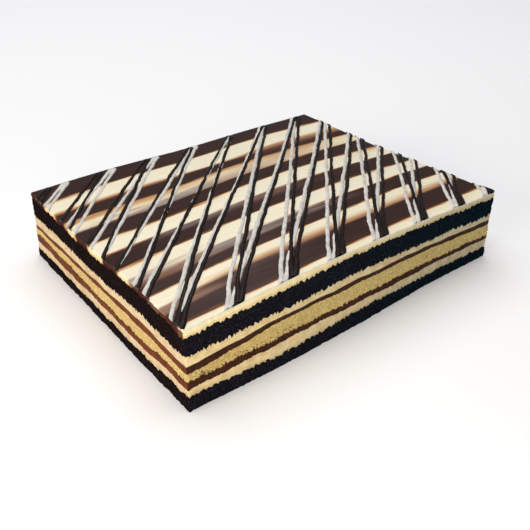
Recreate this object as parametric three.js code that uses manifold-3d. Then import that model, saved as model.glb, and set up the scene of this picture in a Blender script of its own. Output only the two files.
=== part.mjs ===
// Chocolate sheet cake, cut square on all four sides so that its eight layers show, under a
// striped glaze with a white and a dark zigzag of drizzle. Millimetres, +Z up, +X along the long
// front side. The origin is the middle of the flat underside.

import * as THREE from 'three';
import { mergeVertices } from 'three/addons/utils/BufferGeometryUtils.js';
import Module from 'manifold-3d';

const wasm = await Module();
wasm.setup();

// ---- Driving dimensions ----

const LENGTH = 305; // long side, along X
const WIDTH = 244; // short side, along Y
const SIDE_HEIGHT = 64; // height over which the sides lean and hollow
const CROWN = 2.8; // extra rise of the top sponge at the middle of the cake
const BACK_RISE = [1, 2.2, 1, 1.6, 1.3]; // and along the back edge, from left to right
const RIGHT_RISE = [1.2, 0.6, -0.2, 0.4, 1.3]; // and along the right edge, from front to back
const RISE_FADE = 5; // how quickly both of these fade inwards
const GAP = 0.3; // clearance between one layer and the next
const RIPPLE = 0.2; // height of each wave that runs round the edge of a layer
const RIPPLE_CYCLES = [9, 17, 29]; // waves round the whole edge
const RIPPLE_PHASE = 2.4; // turn from one wave to the next, in radians
const CRAGS = {
  // How far a cut side stands in or out at random, at these shares of its height.
  sponge: { depth: 0.55, shares: [0.3, 0.7] },
  filling: { depth: 0.28, shares: [0.5] },
};
const CRAG_SEED = 101;
const EDGE_ROUND = 1; // rounding of the glaze's upper edge
const TRIM_DEPTH = 6; // how far below and above the side's height the drizzle is trimmed
const TRIM_HEIGHT = 12;

// Thickness of each layer, bottom to top. The front list runs from the front left corner along
// the long side, the left list runs from the same corner along the short side, and back is the
// corner that faces it across the cake.
const LAYERS = [
  { name: 'base_sponge', front: [10.5, 8.7, 11, 9, 10], left: [10.5, 7.9, 6.7, 7.2, 10], back: 10.5 },
  { name: 'lower_cream', front: [5.3, 9.6, 6.9, 8, 7.7], left: [5.3, 6.2, 7, 6.7, 6.3], back: 6 },
  { name: 'lower_ganache', front: [6, 3.9, 4.2, 3.9, 2.9], left: [6, 4.9, 5.3, 6.9, 7.2], back: 5 },
  { name: 'vanilla_sponge', front: [6.3, 12.4, 13.1, 13, 11.1], left: [6.3, 10.3, 9.9, 7.4, 5.7], back: 9 },
  { name: 'upper_ganache', front: [6, 3.6, 3.9, 3.9, 4.4], left: [6, 5.8, 4.4, 3.8, 3.3], back: 3.5 },
  { name: 'upper_cream', front: [7.1, 5, 5.7, 4.7, 5.3], left: [7.1, 6.8, 6.3, 8.1, 8.5], back: 6 },
  {
    name: 'top_sponge',
    front: [14.4, 15.2, 15.9, 16.3, 13.9],
    left: [14.4, 17.3, 16.5, 16.2, 15.2],
    back: 16.5,
  },
  { name: 'glaze', front: [6.4, 6.6, 5.7, 5.8, 5.7], left: [6.4, 4.3, 5.9, 5.7, 5.3], back: 6.5 },
];

// How far each cut side stands out at its foot and at its brow, at stations evenly spaced along
// it, and how much further the base sponge alone stands out there.
const SIDES = {
  front: { foot: [2, 3.3, 1.6, -1.5, -0.7], brow: [0, 0, 0, 0, 0], ledge: [1.3, 1.5, 1.5, 1.5, 0.5] },
  back: { foot: [1, 1.5, 3, 1.2, 0.5], brow: [-0.4, 0, -0.5, 0, 0], ledge: [3.8, 3, 1.8, 1.4, 0.8] },
  left: { foot: [1, 1.4, 0.8, 0.4, 1.2], brow: [0, 0, 0, -0.6, -1.7], ledge: [1.2, 1, 0.9, 1.1, -0.6] },
  right: {
    foot: [1.5, 1.2, 1.4, 0.9, 0.8],
    brow: [0.4, 0.2, -0.8, 0.2, 0.9],
    ledge: [0.3, 1.2, 1, 0.9, 0.5],
  },
};
const WAIST = 0.9; // how far all four sides are drawn in halfway up
const WAIST_FADE = 4; // how quickly the waist fades towards the corners
const LEDGE_SLOPE = 0.4; // share of its ledge that the base sponge loses up to its top

// Each drizzle is one long zigzag. It ran past both ends before the cake was trimmed, so the
// first and last turns lie outside it. A front turn joins the two back turns that follow it, and
// each turn is a narrow bend whose two strokes lie a gap apart. The bows are how far the strokes
// to the left and right of a front turn bend towards +X halfway along.
const DRIZZLES = {
  white: {
    frontTurns: [-378, -336, -292, -250, -208, -166, -122.5, -78.6, -35.6, 7.6, 52, 97.8, 136],
    backTurns: [-165, -121, -76, -32, 10.5, 52.5, 92.5, 135, 177.5, 220, 262, 304, 346, 388],
    frontReach: -123.5,
    backReach: 118.5,
    frontGap: 3.4,
    backGap: 3.6,
    leftBow: 1,
    rightBow: 3,
    steepWidth: 4,
    flatWidth: 3.3,
    height: 0.7,
    poolWidth: 3.3,
    poolHeight: 0.8,
  },
  dark: {
    frontTurns: [-376, -332, -288, -243, -200.5, -161, -116, -71, -28.2, 15, 59.6, 104.8, 144],
    backTurns: [-184, -138, -90, -42, 4.5, 50.5, 95, 139.5, 182.5, 226, 269, 313.5, 357.5, 401.5],
    frontReach: -124.5,
    backReach: 117.5,
    frontGap: 2,
    backGap: 5.6,
    leftBow: -0.6,
    rightBow: 1,
    steepWidth: 3.4,
    flatWidth: 3.2,
    height: 1.1,
    poolWidth: 5.2,
    poolHeight: 1.7,
  },
};
const POOL_LENGTH = 22; // where the strokes swell before a front turn
const POOL_LEAN = 2.2; // how far they bend towards +X there
const TURN_BULGE = 1.5; // how far a back turn bows out past the ends of its strokes
const DRIZZLE_SINK = 0.7; // how deep a stroke reaches into the glaze
const DRIZZLE_TOP = 0.5; // width of a stroke's flat top, as a share of its foot
const DRIZZLE_WOBBLE = 0.6; // sideways sway of a stroke
const SWAY_CYCLES = 3;
const DRIZZLE_STEPS = 9;
const STEP_CROWDING = 1.5; // how strongly the steps crowd towards the pool

const ALONG_LONG = 24; // edge points along a long side
const ALONG_SHORT = 20; // edge points along a short side
const DOME_RINGS = [0.8, 0.45]; // sizes of the coarse rings that carry the dome of the glaze
const DOME_STRIDE = 4; // edge points to each point of those rings

const COLOURS = {
  base_sponge: [0x17131a, 0.95],
  lower_cream: [0xe8cc98, 0.6],
  lower_ganache: [0x50291f, 0.5],
  vanilla_sponge: [0xcfae69, 0.9],
  upper_ganache: [0x50291f, 0.5],
  upper_cream: [0xe8cc98, 0.6],
  top_sponge: [0x17131a, 0.95],
  glaze: [0xa39077, 0.3],
};

// ---- Shape functions ----

// Smooth curve through evenly spaced stations; t runs from -1 to 1.
function along(stations, t) {
  const last = stations.length - 1;
  const place = ((t + 1) / 2) * last;
  const i = Math.min(Math.floor(place), last - 1);
  const f = place - i;
  const at = (k) => stations[Math.min(Math.max(k, 0), last)];
  const [a, b, c, d] = [at(i - 1), at(i), at(i + 1), at(i + 2)];
  const quadratic = 2 * a - 5 * b + 4 * c - d;
  const cubic = 3 * b - a - 3 * c + d;
  return 0.5 * (2 * b + (c - a) * f + quadratic * f * f + cubic * f * f * f);
}

// Thickness of a layer at (u, v), each from -1 to 1: a patch between its four edge curves, where
// the two hidden edges run straight to the back corner.
function thickness({ front, left, back }, u, v) {
  const p = (u + 1) / 2;
  const q = (v + 1) / 2;
  const rightFront = front.at(-1);
  const leftBack = left.at(-1);
  const frontEdge = along(front, u);
  const backEdge = THREE.MathUtils.lerp(leftBack, back, p);
  const leftEdge = along(left, v);
  const rightEdge = THREE.MathUtils.lerp(rightFront, back, q);
  const nearCorners = THREE.MathUtils.lerp(front[0], rightFront, p);
  const farCorners = THREE.MathUtils.lerp(leftBack, back, p);
  const corners = THREE.MathUtils.lerp(nearCorners, farCorners, q);
  return (1 - q) * frontEdge + q * backEdge + (1 - p) * leftEdge + p * rightEdge - corners;
}

// What the top sponge rises beyond its own thickness: a crown, and the lifted back and right edges.
function extraRise(u, v) {
  const nearBack = ((v + 1) / 2) ** RISE_FADE;
  const nearRight = ((u + 1) / 2) ** RISE_FADE;
  const crown = CROWN * (1 - u * u) * (1 - v * v);
  return crown + along(BACK_RISE, u) * nearBack + along(RIGHT_RISE, v) * nearRight * (1 - nearBack);
}

// Height of the top of the first count layers at (u, v).
function level(count, u, v) {
  let height = 0;
  for (const layer of LAYERS.slice(0, count)) {
    height += thickness(layer, u, v);
    if (layer.name === 'top_sponge') height += extraRise(u, v);
  }
  return height;
}

// Small waves in a level where it meets the cut sides; turn is the share of the way round.
function ripple(count, turn) {
  if (count === 0) return 0;
  let sum = 0;
  RIPPLE_CYCLES.forEach((cycles, j) => {
    const phase = RIPPLE_PHASE * (count * RIPPLE_CYCLES.length + j);
    sum += RIPPLE * Math.sin(2 * Math.PI * cycles * turn + phase);
  });
  return sum;
}

// How far a side stands out from the plain rectangle at a place along it and a height, with a
// share of its ledge.
function standOut({ foot, brow, ledge }, t, z, ledgeShare) {
  const rise = THREE.MathUtils.clamp(z / SIDE_HEIGHT, 0, 1);
  const lean = THREE.MathUtils.lerp(along(foot, t), along(brow, t), rise);
  const waist = WAIST * Math.sin(Math.PI * rise) * (1 - t ** WAIST_FADE);
  return lean - waist + ledgeShare * along(ledge, t);
}

// The plain rectangle's edge as (u, v) pairs, counter-clockwise from the front left corner.
function edgePlaces() {
  const places = [];
  const steps = (n) => Array.from({ length: n }, (_, i) => -1 + (2 * i) / n);
  steps(ALONG_LONG).forEach((t) => places.push([t, -1]));
  steps(ALONG_SHORT).forEach((t) => places.push([1, t]));
  steps(ALONG_LONG).forEach((t) => places.push([-t, 1]));
  steps(ALONG_SHORT).forEach((t) => places.push([-1, -t]));
  return places;
}
const EDGE = edgePlaces();

// Point of the cut outline at (u, v) and height z, moved outwards by extra. A point keeps its
// share of both neighbouring sides' lean, so that the corners close.
function outlinePoint(u, v, z, extra = 0, ledgeShare = 0) {
  const sideX = u < 0 ? SIDES.left : SIDES.right;
  const sideY = v < 0 ? SIDES.front : SIDES.back;
  const x = u * (LENGTH / 2 + standOut(sideX, v, z, ledgeShare) + extra);
  const y = v * (WIDTH / 2 + standOut(sideY, u, z, ledgeShare) + extra);
  return new THREE.Vector3(x, y, z);
}

// Repeatable random numbers from 0 to 1.
function seeded(seed) {
  let state = seed;
  return () => {
    state = (state * 1664525 + 1013904223) >>> 0;
    return state / 2 ** 32;
  };
}

// ---- Building solids ----

// Closed body through rings of points, counter-clockwise seen from the last ring, closed at both
// ends by fans to the two given centres. A ring may have a whole number of times fewer points
// than the one before it.
function loft(rings, firstCentre, lastCentre) {
  const points = [...rings.flat(), firstCentre, lastCentre];
  const first = points.length - 2;
  const last = points.length - 1;
  const faces = [];
  const bottom = rings[0].length;
  for (let i = 0; i < bottom; i++) faces.push(first, (i + 1) % bottom, i);
  let low = 0;
  for (let k = 0; k + 1 < rings.length; k++) {
    const count = rings[k].length;
    const above = rings[k + 1].length;
    const high = low + count;
    const stride = count / above;
    for (let i = 0; i < count; i++) {
      const next = (i + 1) % count;
      const apex = high + Math.floor(i / stride);
      faces.push(low + i, low + next, apex);
      if (next % stride === 0) faces.push(low + next, high + next / stride, apex);
    }
    low = high;
  }
  const top = rings.at(-1).length;
  for (let i = 0; i < top; i++) faces.push(last, low + i, low + ((i + 1) % top));
  const geometry = new THREE.BufferGeometry().setFromPoints(points);
  geometry.setIndex(faces);
  return geometry;
}

function toSolid(geometry) {
  const merged = geometry.clone();
  merged.deleteAttribute('normal');
  merged.deleteAttribute('uv');
  const welded = mergeVertices(merged);
  const vertProperties = Float32Array.from(welded.attributes.position.array);
  const triVerts = Uint32Array.from(welded.index.array);
  return new wasm.Manifold(new wasm.Mesh({ numProp: 3, vertProperties, triVerts }));
}

function toGeometry(solid) {
  const mesh = solid.getMesh();
  const geometry = new THREE.BufferGeometry();
  geometry.setAttribute('position', new THREE.BufferAttribute(mesh.vertProperties, 3));
  geometry.setIndex(new THREE.BufferAttribute(mesh.triVerts, 1));
  return geometry;
}

// Ring of the cut outline where the first count layers end, moved up by lift.
function levelRing(count, lift, ledgeShare = 0) {
  return EDGE.map(([u, v], i) => {
    const z = level(count, u, v) + ripple(count, i / EDGE.length);
    const point = outlinePoint(u, v, z, 0, ledgeShare);
    point.z = count === 0 ? 0 : z + lift;
    return point;
  });
}

function levelCentre(count, lift) {
  return new THREE.Vector3(0, 0, count === 0 ? 0 : level(count, 0, 0) + lift);
}

// Rings between two others, pushed in and out at random like torn crumb. The share is the
// height between the two.
function cragRing(lower, upper, share, depth, random) {
  return lower.map((point, i) => {
    const [u, v] = EDGE[i];
    const between = point.clone().lerp(upper[i], share);
    const push = depth * (2 * random() - 1);
    return new THREE.Vector3(between.x + u * push, between.y + v * push, between.z);
  });
}

// A layer inside the cake: its two levels and the crumb between them.
function layerGeometry(index) {
  const random = seeded(CRAG_SEED + index);
  const isBase = index === 0;
  const lower = levelRing(index, GAP / 2, isBase ? 1 : 0);
  const upper = levelRing(index + 1, -GAP / 2, isBase ? 1 - LEDGE_SLOPE : 0);
  const { depth, shares } = LAYERS[index].name.endsWith('sponge') ? CRAGS.sponge : CRAGS.filling;
  const crags = shares.map((share) => cragRing(lower, upper, share, depth, random));
  return loft([lower, ...crags, upper], levelCentre(index, GAP / 2), levelCentre(index + 1, -GAP / 2));
}

// Height of the glaze's surface over a point of the plan.
function glazeTop(x, y) {
  const u = THREE.MathUtils.clamp(x / (LENGTH / 2), -1, 1);
  const v = THREE.MathUtils.clamp(y / (WIDTH / 2), -1, 1);
  return level(LAYERS.length, u, v);
}

// The glaze without its drizzle: a slab with a rounded upper edge and a domed top.
function glazeSlab() {
  const under = levelRing(LAYERS.length - 1, GAP / 2);
  const brow = EDGE.map(([u, v]) => {
    const z = level(LAYERS.length, u, v);
    return outlinePoint(u, v, z).setZ(z - EDGE_ROUND);
  });
  const cut = EDGE_ROUND * (1 - Math.SQRT1_2);
  const half = EDGE.map(([u, v]) => {
    const z = level(LAYERS.length, u, v);
    return outlinePoint(u, v, z, -cut).setZ(z - cut);
  });
  const flatRing = (scale, stride) =>
    EDGE.filter((_, i) => i % stride === 0).map(([u, v]) => {
      const z = level(LAYERS.length, u * scale, v * scale);
      const rim = outlinePoint(u, v, z, -EDGE_ROUND);
      return new THREE.Vector3(rim.x * scale, rim.y * scale, z);
    });
  const dome = DOME_RINGS.map((scale) => flatRing(scale, DOME_STRIDE));
  const rings = [under, brow, half, flatRing(1, 1), ...dome];
  return loft(rings, levelCentre(LAYERS.length - 1, GAP / 2), levelCentre(LAYERS.length, 0));
}

// ---- Drizzle ----

// Strip of drizzle lying on the glaze. Each place has the middle of the strip, the level
// direction across it, the width of its foot and its height.
function stripGeometry(places) {
  const rings = places.map(({ middle, side, foot, height }) => {
    const ground = glazeTop(middle.x, middle.y);
    const corner = (across, up) => {
      const flat = middle.clone().addScaledVector(side, across * foot);
      return new THREE.Vector3(flat.x, flat.y, ground + up);
    };
    return [
      corner(-0.5, -DRIZZLE_SINK),
      corner(0.5, -DRIZZLE_SINK),
      corner(0.5 * DRIZZLE_TOP, height),
      corner(-0.5 * DRIZZLE_TOP, height),
    ];
  });
  const total = (ring) => ring.reduce((sum, point) => sum.add(point), new THREE.Vector3());
  const centre = (ring) => total(ring).divideScalar(ring.length);
  return loft(rings, centre(rings[0]), centre(rings.at(-1)));
}

// One run of a drizzle from a front turn to a back turn, with its bow and a little sway. It swells
// and bends into a pool before the front turn.
function strokeGeometry(drizzle, { frontX, backX, width, bow }, phase) {
  const start = new THREE.Vector2(frontX, drizzle.frontReach);
  const end = new THREE.Vector2(backX, drizzle.backReach);
  const direction = end.clone().sub(start).normalize();
  const side = new THREE.Vector2(-direction.y, direction.x);
  const length = start.distanceTo(end);
  const places = Array.from({ length: DRIZZLE_STEPS + 1 }, (_, i) => {
    const share = (i / DRIZZLE_STEPS) ** STEP_CROWDING;
    const pool = Math.max(0, 1 - (share * length) / POOL_LENGTH);
    const sway = DRIZZLE_WOBBLE * Math.sin(2 * Math.PI * SWAY_CYCLES * share + phase);
    const middle = start.clone().lerp(end, share).addScaledVector(side, sway);
    middle.x += bow * Math.sin(Math.PI * share) + POOL_LEAN * pool;
    return {
      middle,
      side,
      foot: Math.max(width, THREE.MathUtils.lerp(width, drizzle.poolWidth, pool)),
      height: THREE.MathUtils.lerp(drizzle.height, drizzle.poolHeight, pool),
    };
  });
  return stripGeometry(places);
}

// The bend of a back turn, from the end of one stroke to the start of the next.
function turnGeometry(drizzle, backX) {
  const { backGap, backReach, flatWidth, height } = drizzle;
  const places = [-1, 0, 1].map((step) => ({
    middle: new THREE.Vector2(backX + (step * backGap) / 2, backReach + TURN_BULGE * (1 - step * step)),
    side: new THREE.Vector2(0, 1),
    foot: flatWidth,
    height,
  }));
  return stripGeometry(places);
}

function drizzleSolids(drizzle) {
  const { frontTurns, backTurns, frontGap, backGap } = drizzle;
  const solids = [];
  frontTurns.forEach((turn, i) => {
    const leftRun = {
      frontX: turn - frontGap / 2,
      backX: backTurns[i] + backGap / 2,
      width: drizzle.steepWidth,
      bow: drizzle.leftBow,
    };
    const rightRun = {
      frontX: turn + frontGap / 2,
      backX: backTurns[i + 1] - backGap / 2,
      width: drizzle.flatWidth,
      bow: drizzle.rightBow,
    };
    for (const run of [leftRun, rightRun]) {
      if (run.backX < -LENGTH / 2) continue;
      solids.push(toSolid(strokeGeometry(drizzle, run, solids.length)));
    }
  });
  const turnsInside = backTurns.filter((x) => Math.abs(x) < LENGTH / 2);
  turnsInside.forEach((x) => solids.push(toSolid(turnGeometry(drizzle, x))));
  return solids;
}

// Upright block that trims the drizzle flush with the rim of the glaze.
function trimBlock() {
  const ring = (z) => EDGE.map(([u, v]) => outlinePoint(u, v, SIDE_HEIGHT, -EDGE_ROUND / 2).setZ(z));
  const centre = (z) => new THREE.Vector3(0, 0, z);
  const low = SIDE_HEIGHT - TRIM_DEPTH;
  const high = SIDE_HEIGHT + TRIM_HEIGHT;
  return toSolid(loft([ring(low), ring(high)], centre(low), centre(high)));
}

function glazeGeometry() {
  const trim = trimBlock();
  let solid = toSolid(glazeSlab());
  for (const stroke of Object.values(DRIZZLES).flatMap(drizzleSolids)) {
    solid = solid.add(stroke.intersect(trim));
  }
  // Strokes that run close together can seal off a tiny pocket between them, which is filled.
  const shells = solid.decompose().sort((a, b) => b.volume() - a.volume());
  return toGeometry(shells[0]);
}

// ---- Assembly ----

const group = new THREE.Group();
group.name = 'chocolate_sheet_cake';
LAYERS.forEach(({ name }, index) => {
  const geometry = name === 'glaze' ? glazeGeometry() : layerGeometry(index);
  const [color, roughness] = COLOURS[name];
  const mesh = new THREE.Mesh(geometry, new THREE.MeshStandardMaterial({ color, roughness, metalness: 0 }));
  mesh.name = name;
  group.add(mesh);
});

export default group;
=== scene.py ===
"""Chocolate sheet cake: eight layers with cut sides, a combed glaze and two zigzags of drizzle.

Sizes are in millimetres inside this file and become metres when a mesh is made. +X runs along
the long front side, +Y to the back and +Z up; the origin is the middle of the flat underside.
"""

from __future__ import annotations

import logging
import math
from dataclasses import dataclass, field, replace
from enum import Enum

import bpy
import numpy as np
from mathutils import Matrix, Vector

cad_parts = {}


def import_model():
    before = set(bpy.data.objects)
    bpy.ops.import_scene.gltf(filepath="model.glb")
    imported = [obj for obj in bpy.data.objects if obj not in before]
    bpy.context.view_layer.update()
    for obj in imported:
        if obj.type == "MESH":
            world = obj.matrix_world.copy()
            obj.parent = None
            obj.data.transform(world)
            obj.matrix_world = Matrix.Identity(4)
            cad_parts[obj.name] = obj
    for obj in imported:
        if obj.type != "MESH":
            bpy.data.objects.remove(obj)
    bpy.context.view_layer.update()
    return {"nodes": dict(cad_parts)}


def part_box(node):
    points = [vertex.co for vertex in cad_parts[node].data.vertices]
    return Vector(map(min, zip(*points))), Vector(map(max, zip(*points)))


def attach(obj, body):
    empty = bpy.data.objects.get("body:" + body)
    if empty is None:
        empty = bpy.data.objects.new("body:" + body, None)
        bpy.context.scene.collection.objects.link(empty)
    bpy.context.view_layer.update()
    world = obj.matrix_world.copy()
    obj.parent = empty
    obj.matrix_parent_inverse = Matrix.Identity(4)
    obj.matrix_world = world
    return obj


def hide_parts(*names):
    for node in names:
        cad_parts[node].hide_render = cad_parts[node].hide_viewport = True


LOG = logging.getLogger("cake")
MM = 0.001
TURN = 2 * math.pi
CREASE = math.radians(50)
Stations = tuple[float, ...]
Colour = tuple[float, float, float, float]
Place = tuple[float, float, float]
WaveSize = float | Place


class Slot(Enum):
    """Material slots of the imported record."""

    CHOCOLATE = "chocolate_sponge"
    CREAM = "cream"
    GANACHE = "ganache"
    VANILLA = "vanilla_sponge"
    GLAZE = "glaze"


def linear(code: str) -> Colour:
    """Turns a display colour into a linear one.

    Args:
        code: six hexadecimal digits, red, green and blue.

    Returns:
        Linear red, green, blue and an alpha of 1.
    """
    shares = [int(code[i : i + 2], 16) / 255 for i in (0, 2, 4)]
    r, g, b = (s / 12.92 if s <= 0.04045 else ((s + 0.055) / 1.055) ** 2.4 for s in shares)
    return (r, g, b, 1.0)


# ---- Numbers that look random ----

AXIS_FACTORS = (73856093, 19349663, 83492791)
SEED_FACTOR = 2654435761
MIXERS = ((13, 0x9E3779B97F4A7C15), (29, 0xBF58476D1CE4E5B9))
LAST_SHIFT = 32
HIGHEST = 0xFFFFFF


def lattice(cell: np.ndarray, seed: int) -> np.ndarray:
    """Gives every whole-numbered cell of space a fixed random share, by mixing the bits of its numbers.

    Args:
        cell: whole numbers, shape (..., 3).
        seed: picks one pattern.

    Returns:
        Values from 0 to 1, shape (...).
    """
    whole = cell.astype(np.int64).astype(np.uint64)
    mixed = np.full(cell.shape[:-1], seed * SEED_FACTOR, np.uint64)
    for axis, factor in enumerate(AXIS_FACTORS):
        mixed ^= whole[..., axis] * np.uint64(factor)
    for shift, factor in MIXERS:
        mixed ^= mixed >> np.uint64(shift)
        mixed *= np.uint64(factor)
    mixed ^= mixed >> np.uint64(LAST_SHIFT)
    return (mixed & np.uint64(HIGHEST)).astype(float) / HIGHEST


def soft_noise(points: np.ndarray, size: WaveSize, seed: int) -> np.ndarray:
    """Smooth noise: the lattice's values at the eight corners round a point, blended smoothly.

    Args:
        points: shape (..., 3), in millimetres.
        size: width of one wave, the same or different along X, Y and Z.
        seed: picks one pattern.

    Returns:
        Values from -1 to 1, shape (...).
    """
    place = points / np.asarray(size, float)
    cell = np.floor(place)
    f = place - cell
    f = f * f * (3 - 2 * f)
    total = np.zeros(points.shape[:-1])
    for corner in np.ndindex(2, 2, 2):
        step = np.array(corner)
        weight = np.prod(np.where(step == 1, f, 1 - f), axis=-1)
        total += weight * lattice(cell + step, seed)
    return 2 * total - 1


def crumb_noise(points: np.ndarray, size: float, seed: int) -> np.ndarray:
    """Distance from each point to the nearest of many scattered crumb centres.

    Args:
        points: shape (..., 3), in millimetres.
        size: mean distance between crumbs.
        seed: picks one pattern.

    Returns:
        The distance as a share of size, 0 at a crumb's centre, shape (...).
    """
    place = points / size
    cell = np.floor(place)
    nearest = np.full(points.shape[:-1], np.inf)
    for corner in np.ndindex(3, 3, 3):
        around = cell + np.array(corner) - 1
        centre = np.stack([around[..., a] + lattice(around, seed + a) for a in range(3)], axis=-1)
        nearest = np.minimum(nearest, np.linalg.norm(centre - place, axis=-1))
    return nearest


def smooth_step(value: np.ndarray, low: float, high: float) -> np.ndarray:
    """Eases from 0 below low to 1 above high."""
    t = np.clip((value - low) / (high - low), 0, 1)
    return t * t * (3 - 2 * t)


@dataclass(frozen=True)
class Wave:
    """Random waves of one height and size."""

    height: float
    size: WaveSize
    seed: int

    def at(self, points: np.ndarray) -> np.ndarray:
        """Height of the waves at points of shape (..., 3)."""
        return self.height * soft_noise(points, self.size, self.seed)


def pile(waves: tuple[Wave, ...], points: np.ndarray, level: np.ndarray | float = 0.0) -> np.ndarray:
    """Adds waves of several sizes, at points of shape (..., 3) in millimetres, to a level."""
    return sum((wave.at(points) for wave in waves), level)


# ---- The form of the cake ----


def along(stations: Stations, t: np.ndarray) -> np.ndarray:
    """Smooth curve through evenly spaced stations.

    Between two stations it is the cubic that runs through both, with the slope at each of them
    of the straight line between its neighbours.

    Args:
        stations: values at even steps.
        t: place from -1 to 1.

    Returns:
        The curve's value at each place.
    """
    values = np.asarray(stations, float)
    last = len(values) - 1
    place = (np.asarray(t, float) + 1) / 2 * last
    i = np.clip(np.floor(place).astype(int), 0, last - 1)
    f = place - i
    a, b, c, d = (values[np.clip(i + k, 0, last)] for k in (-1, 0, 1, 2))
    return 0.5 * (2 * b + (c - a) * f + (2 * a - 5 * b + 4 * c - d) * f**2 + (3 * b - a - 3 * c + d) * f**3)


@dataclass(frozen=True)
class Thickness:
    """Thickness of one layer: along the front side, along the left side and at the far corner."""

    front: Stations
    left: Stations
    back: float

    def at(self, u: np.ndarray, v: np.ndarray) -> np.ndarray:
        """Blends the four edge curves.

        Args:
            u: place along X, from -1 to 1.
            v: place along Y, from -1 to 1.

        Returns:
            Thickness at each place.
        """
        p = (u + 1) / 2
        q = (v + 1) / 2
        near = self.front[0] + (self.front[-1] - self.front[0]) * p
        far = self.left[-1] + (self.back - self.left[-1]) * p
        right = self.front[-1] + (self.back - self.front[-1]) * q
        sides = (1 - q) * along(self.front, u) + q * far + (1 - p) * along(self.left, v) + p * right
        return sides - (near + (far - near) * q)


@dataclass(frozen=True)
class Lean:
    """How far one cut side stands out at its foot and its brow, and the base sponge beyond that."""

    foot: Stations
    brow: Stations
    ledge: Stations


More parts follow.
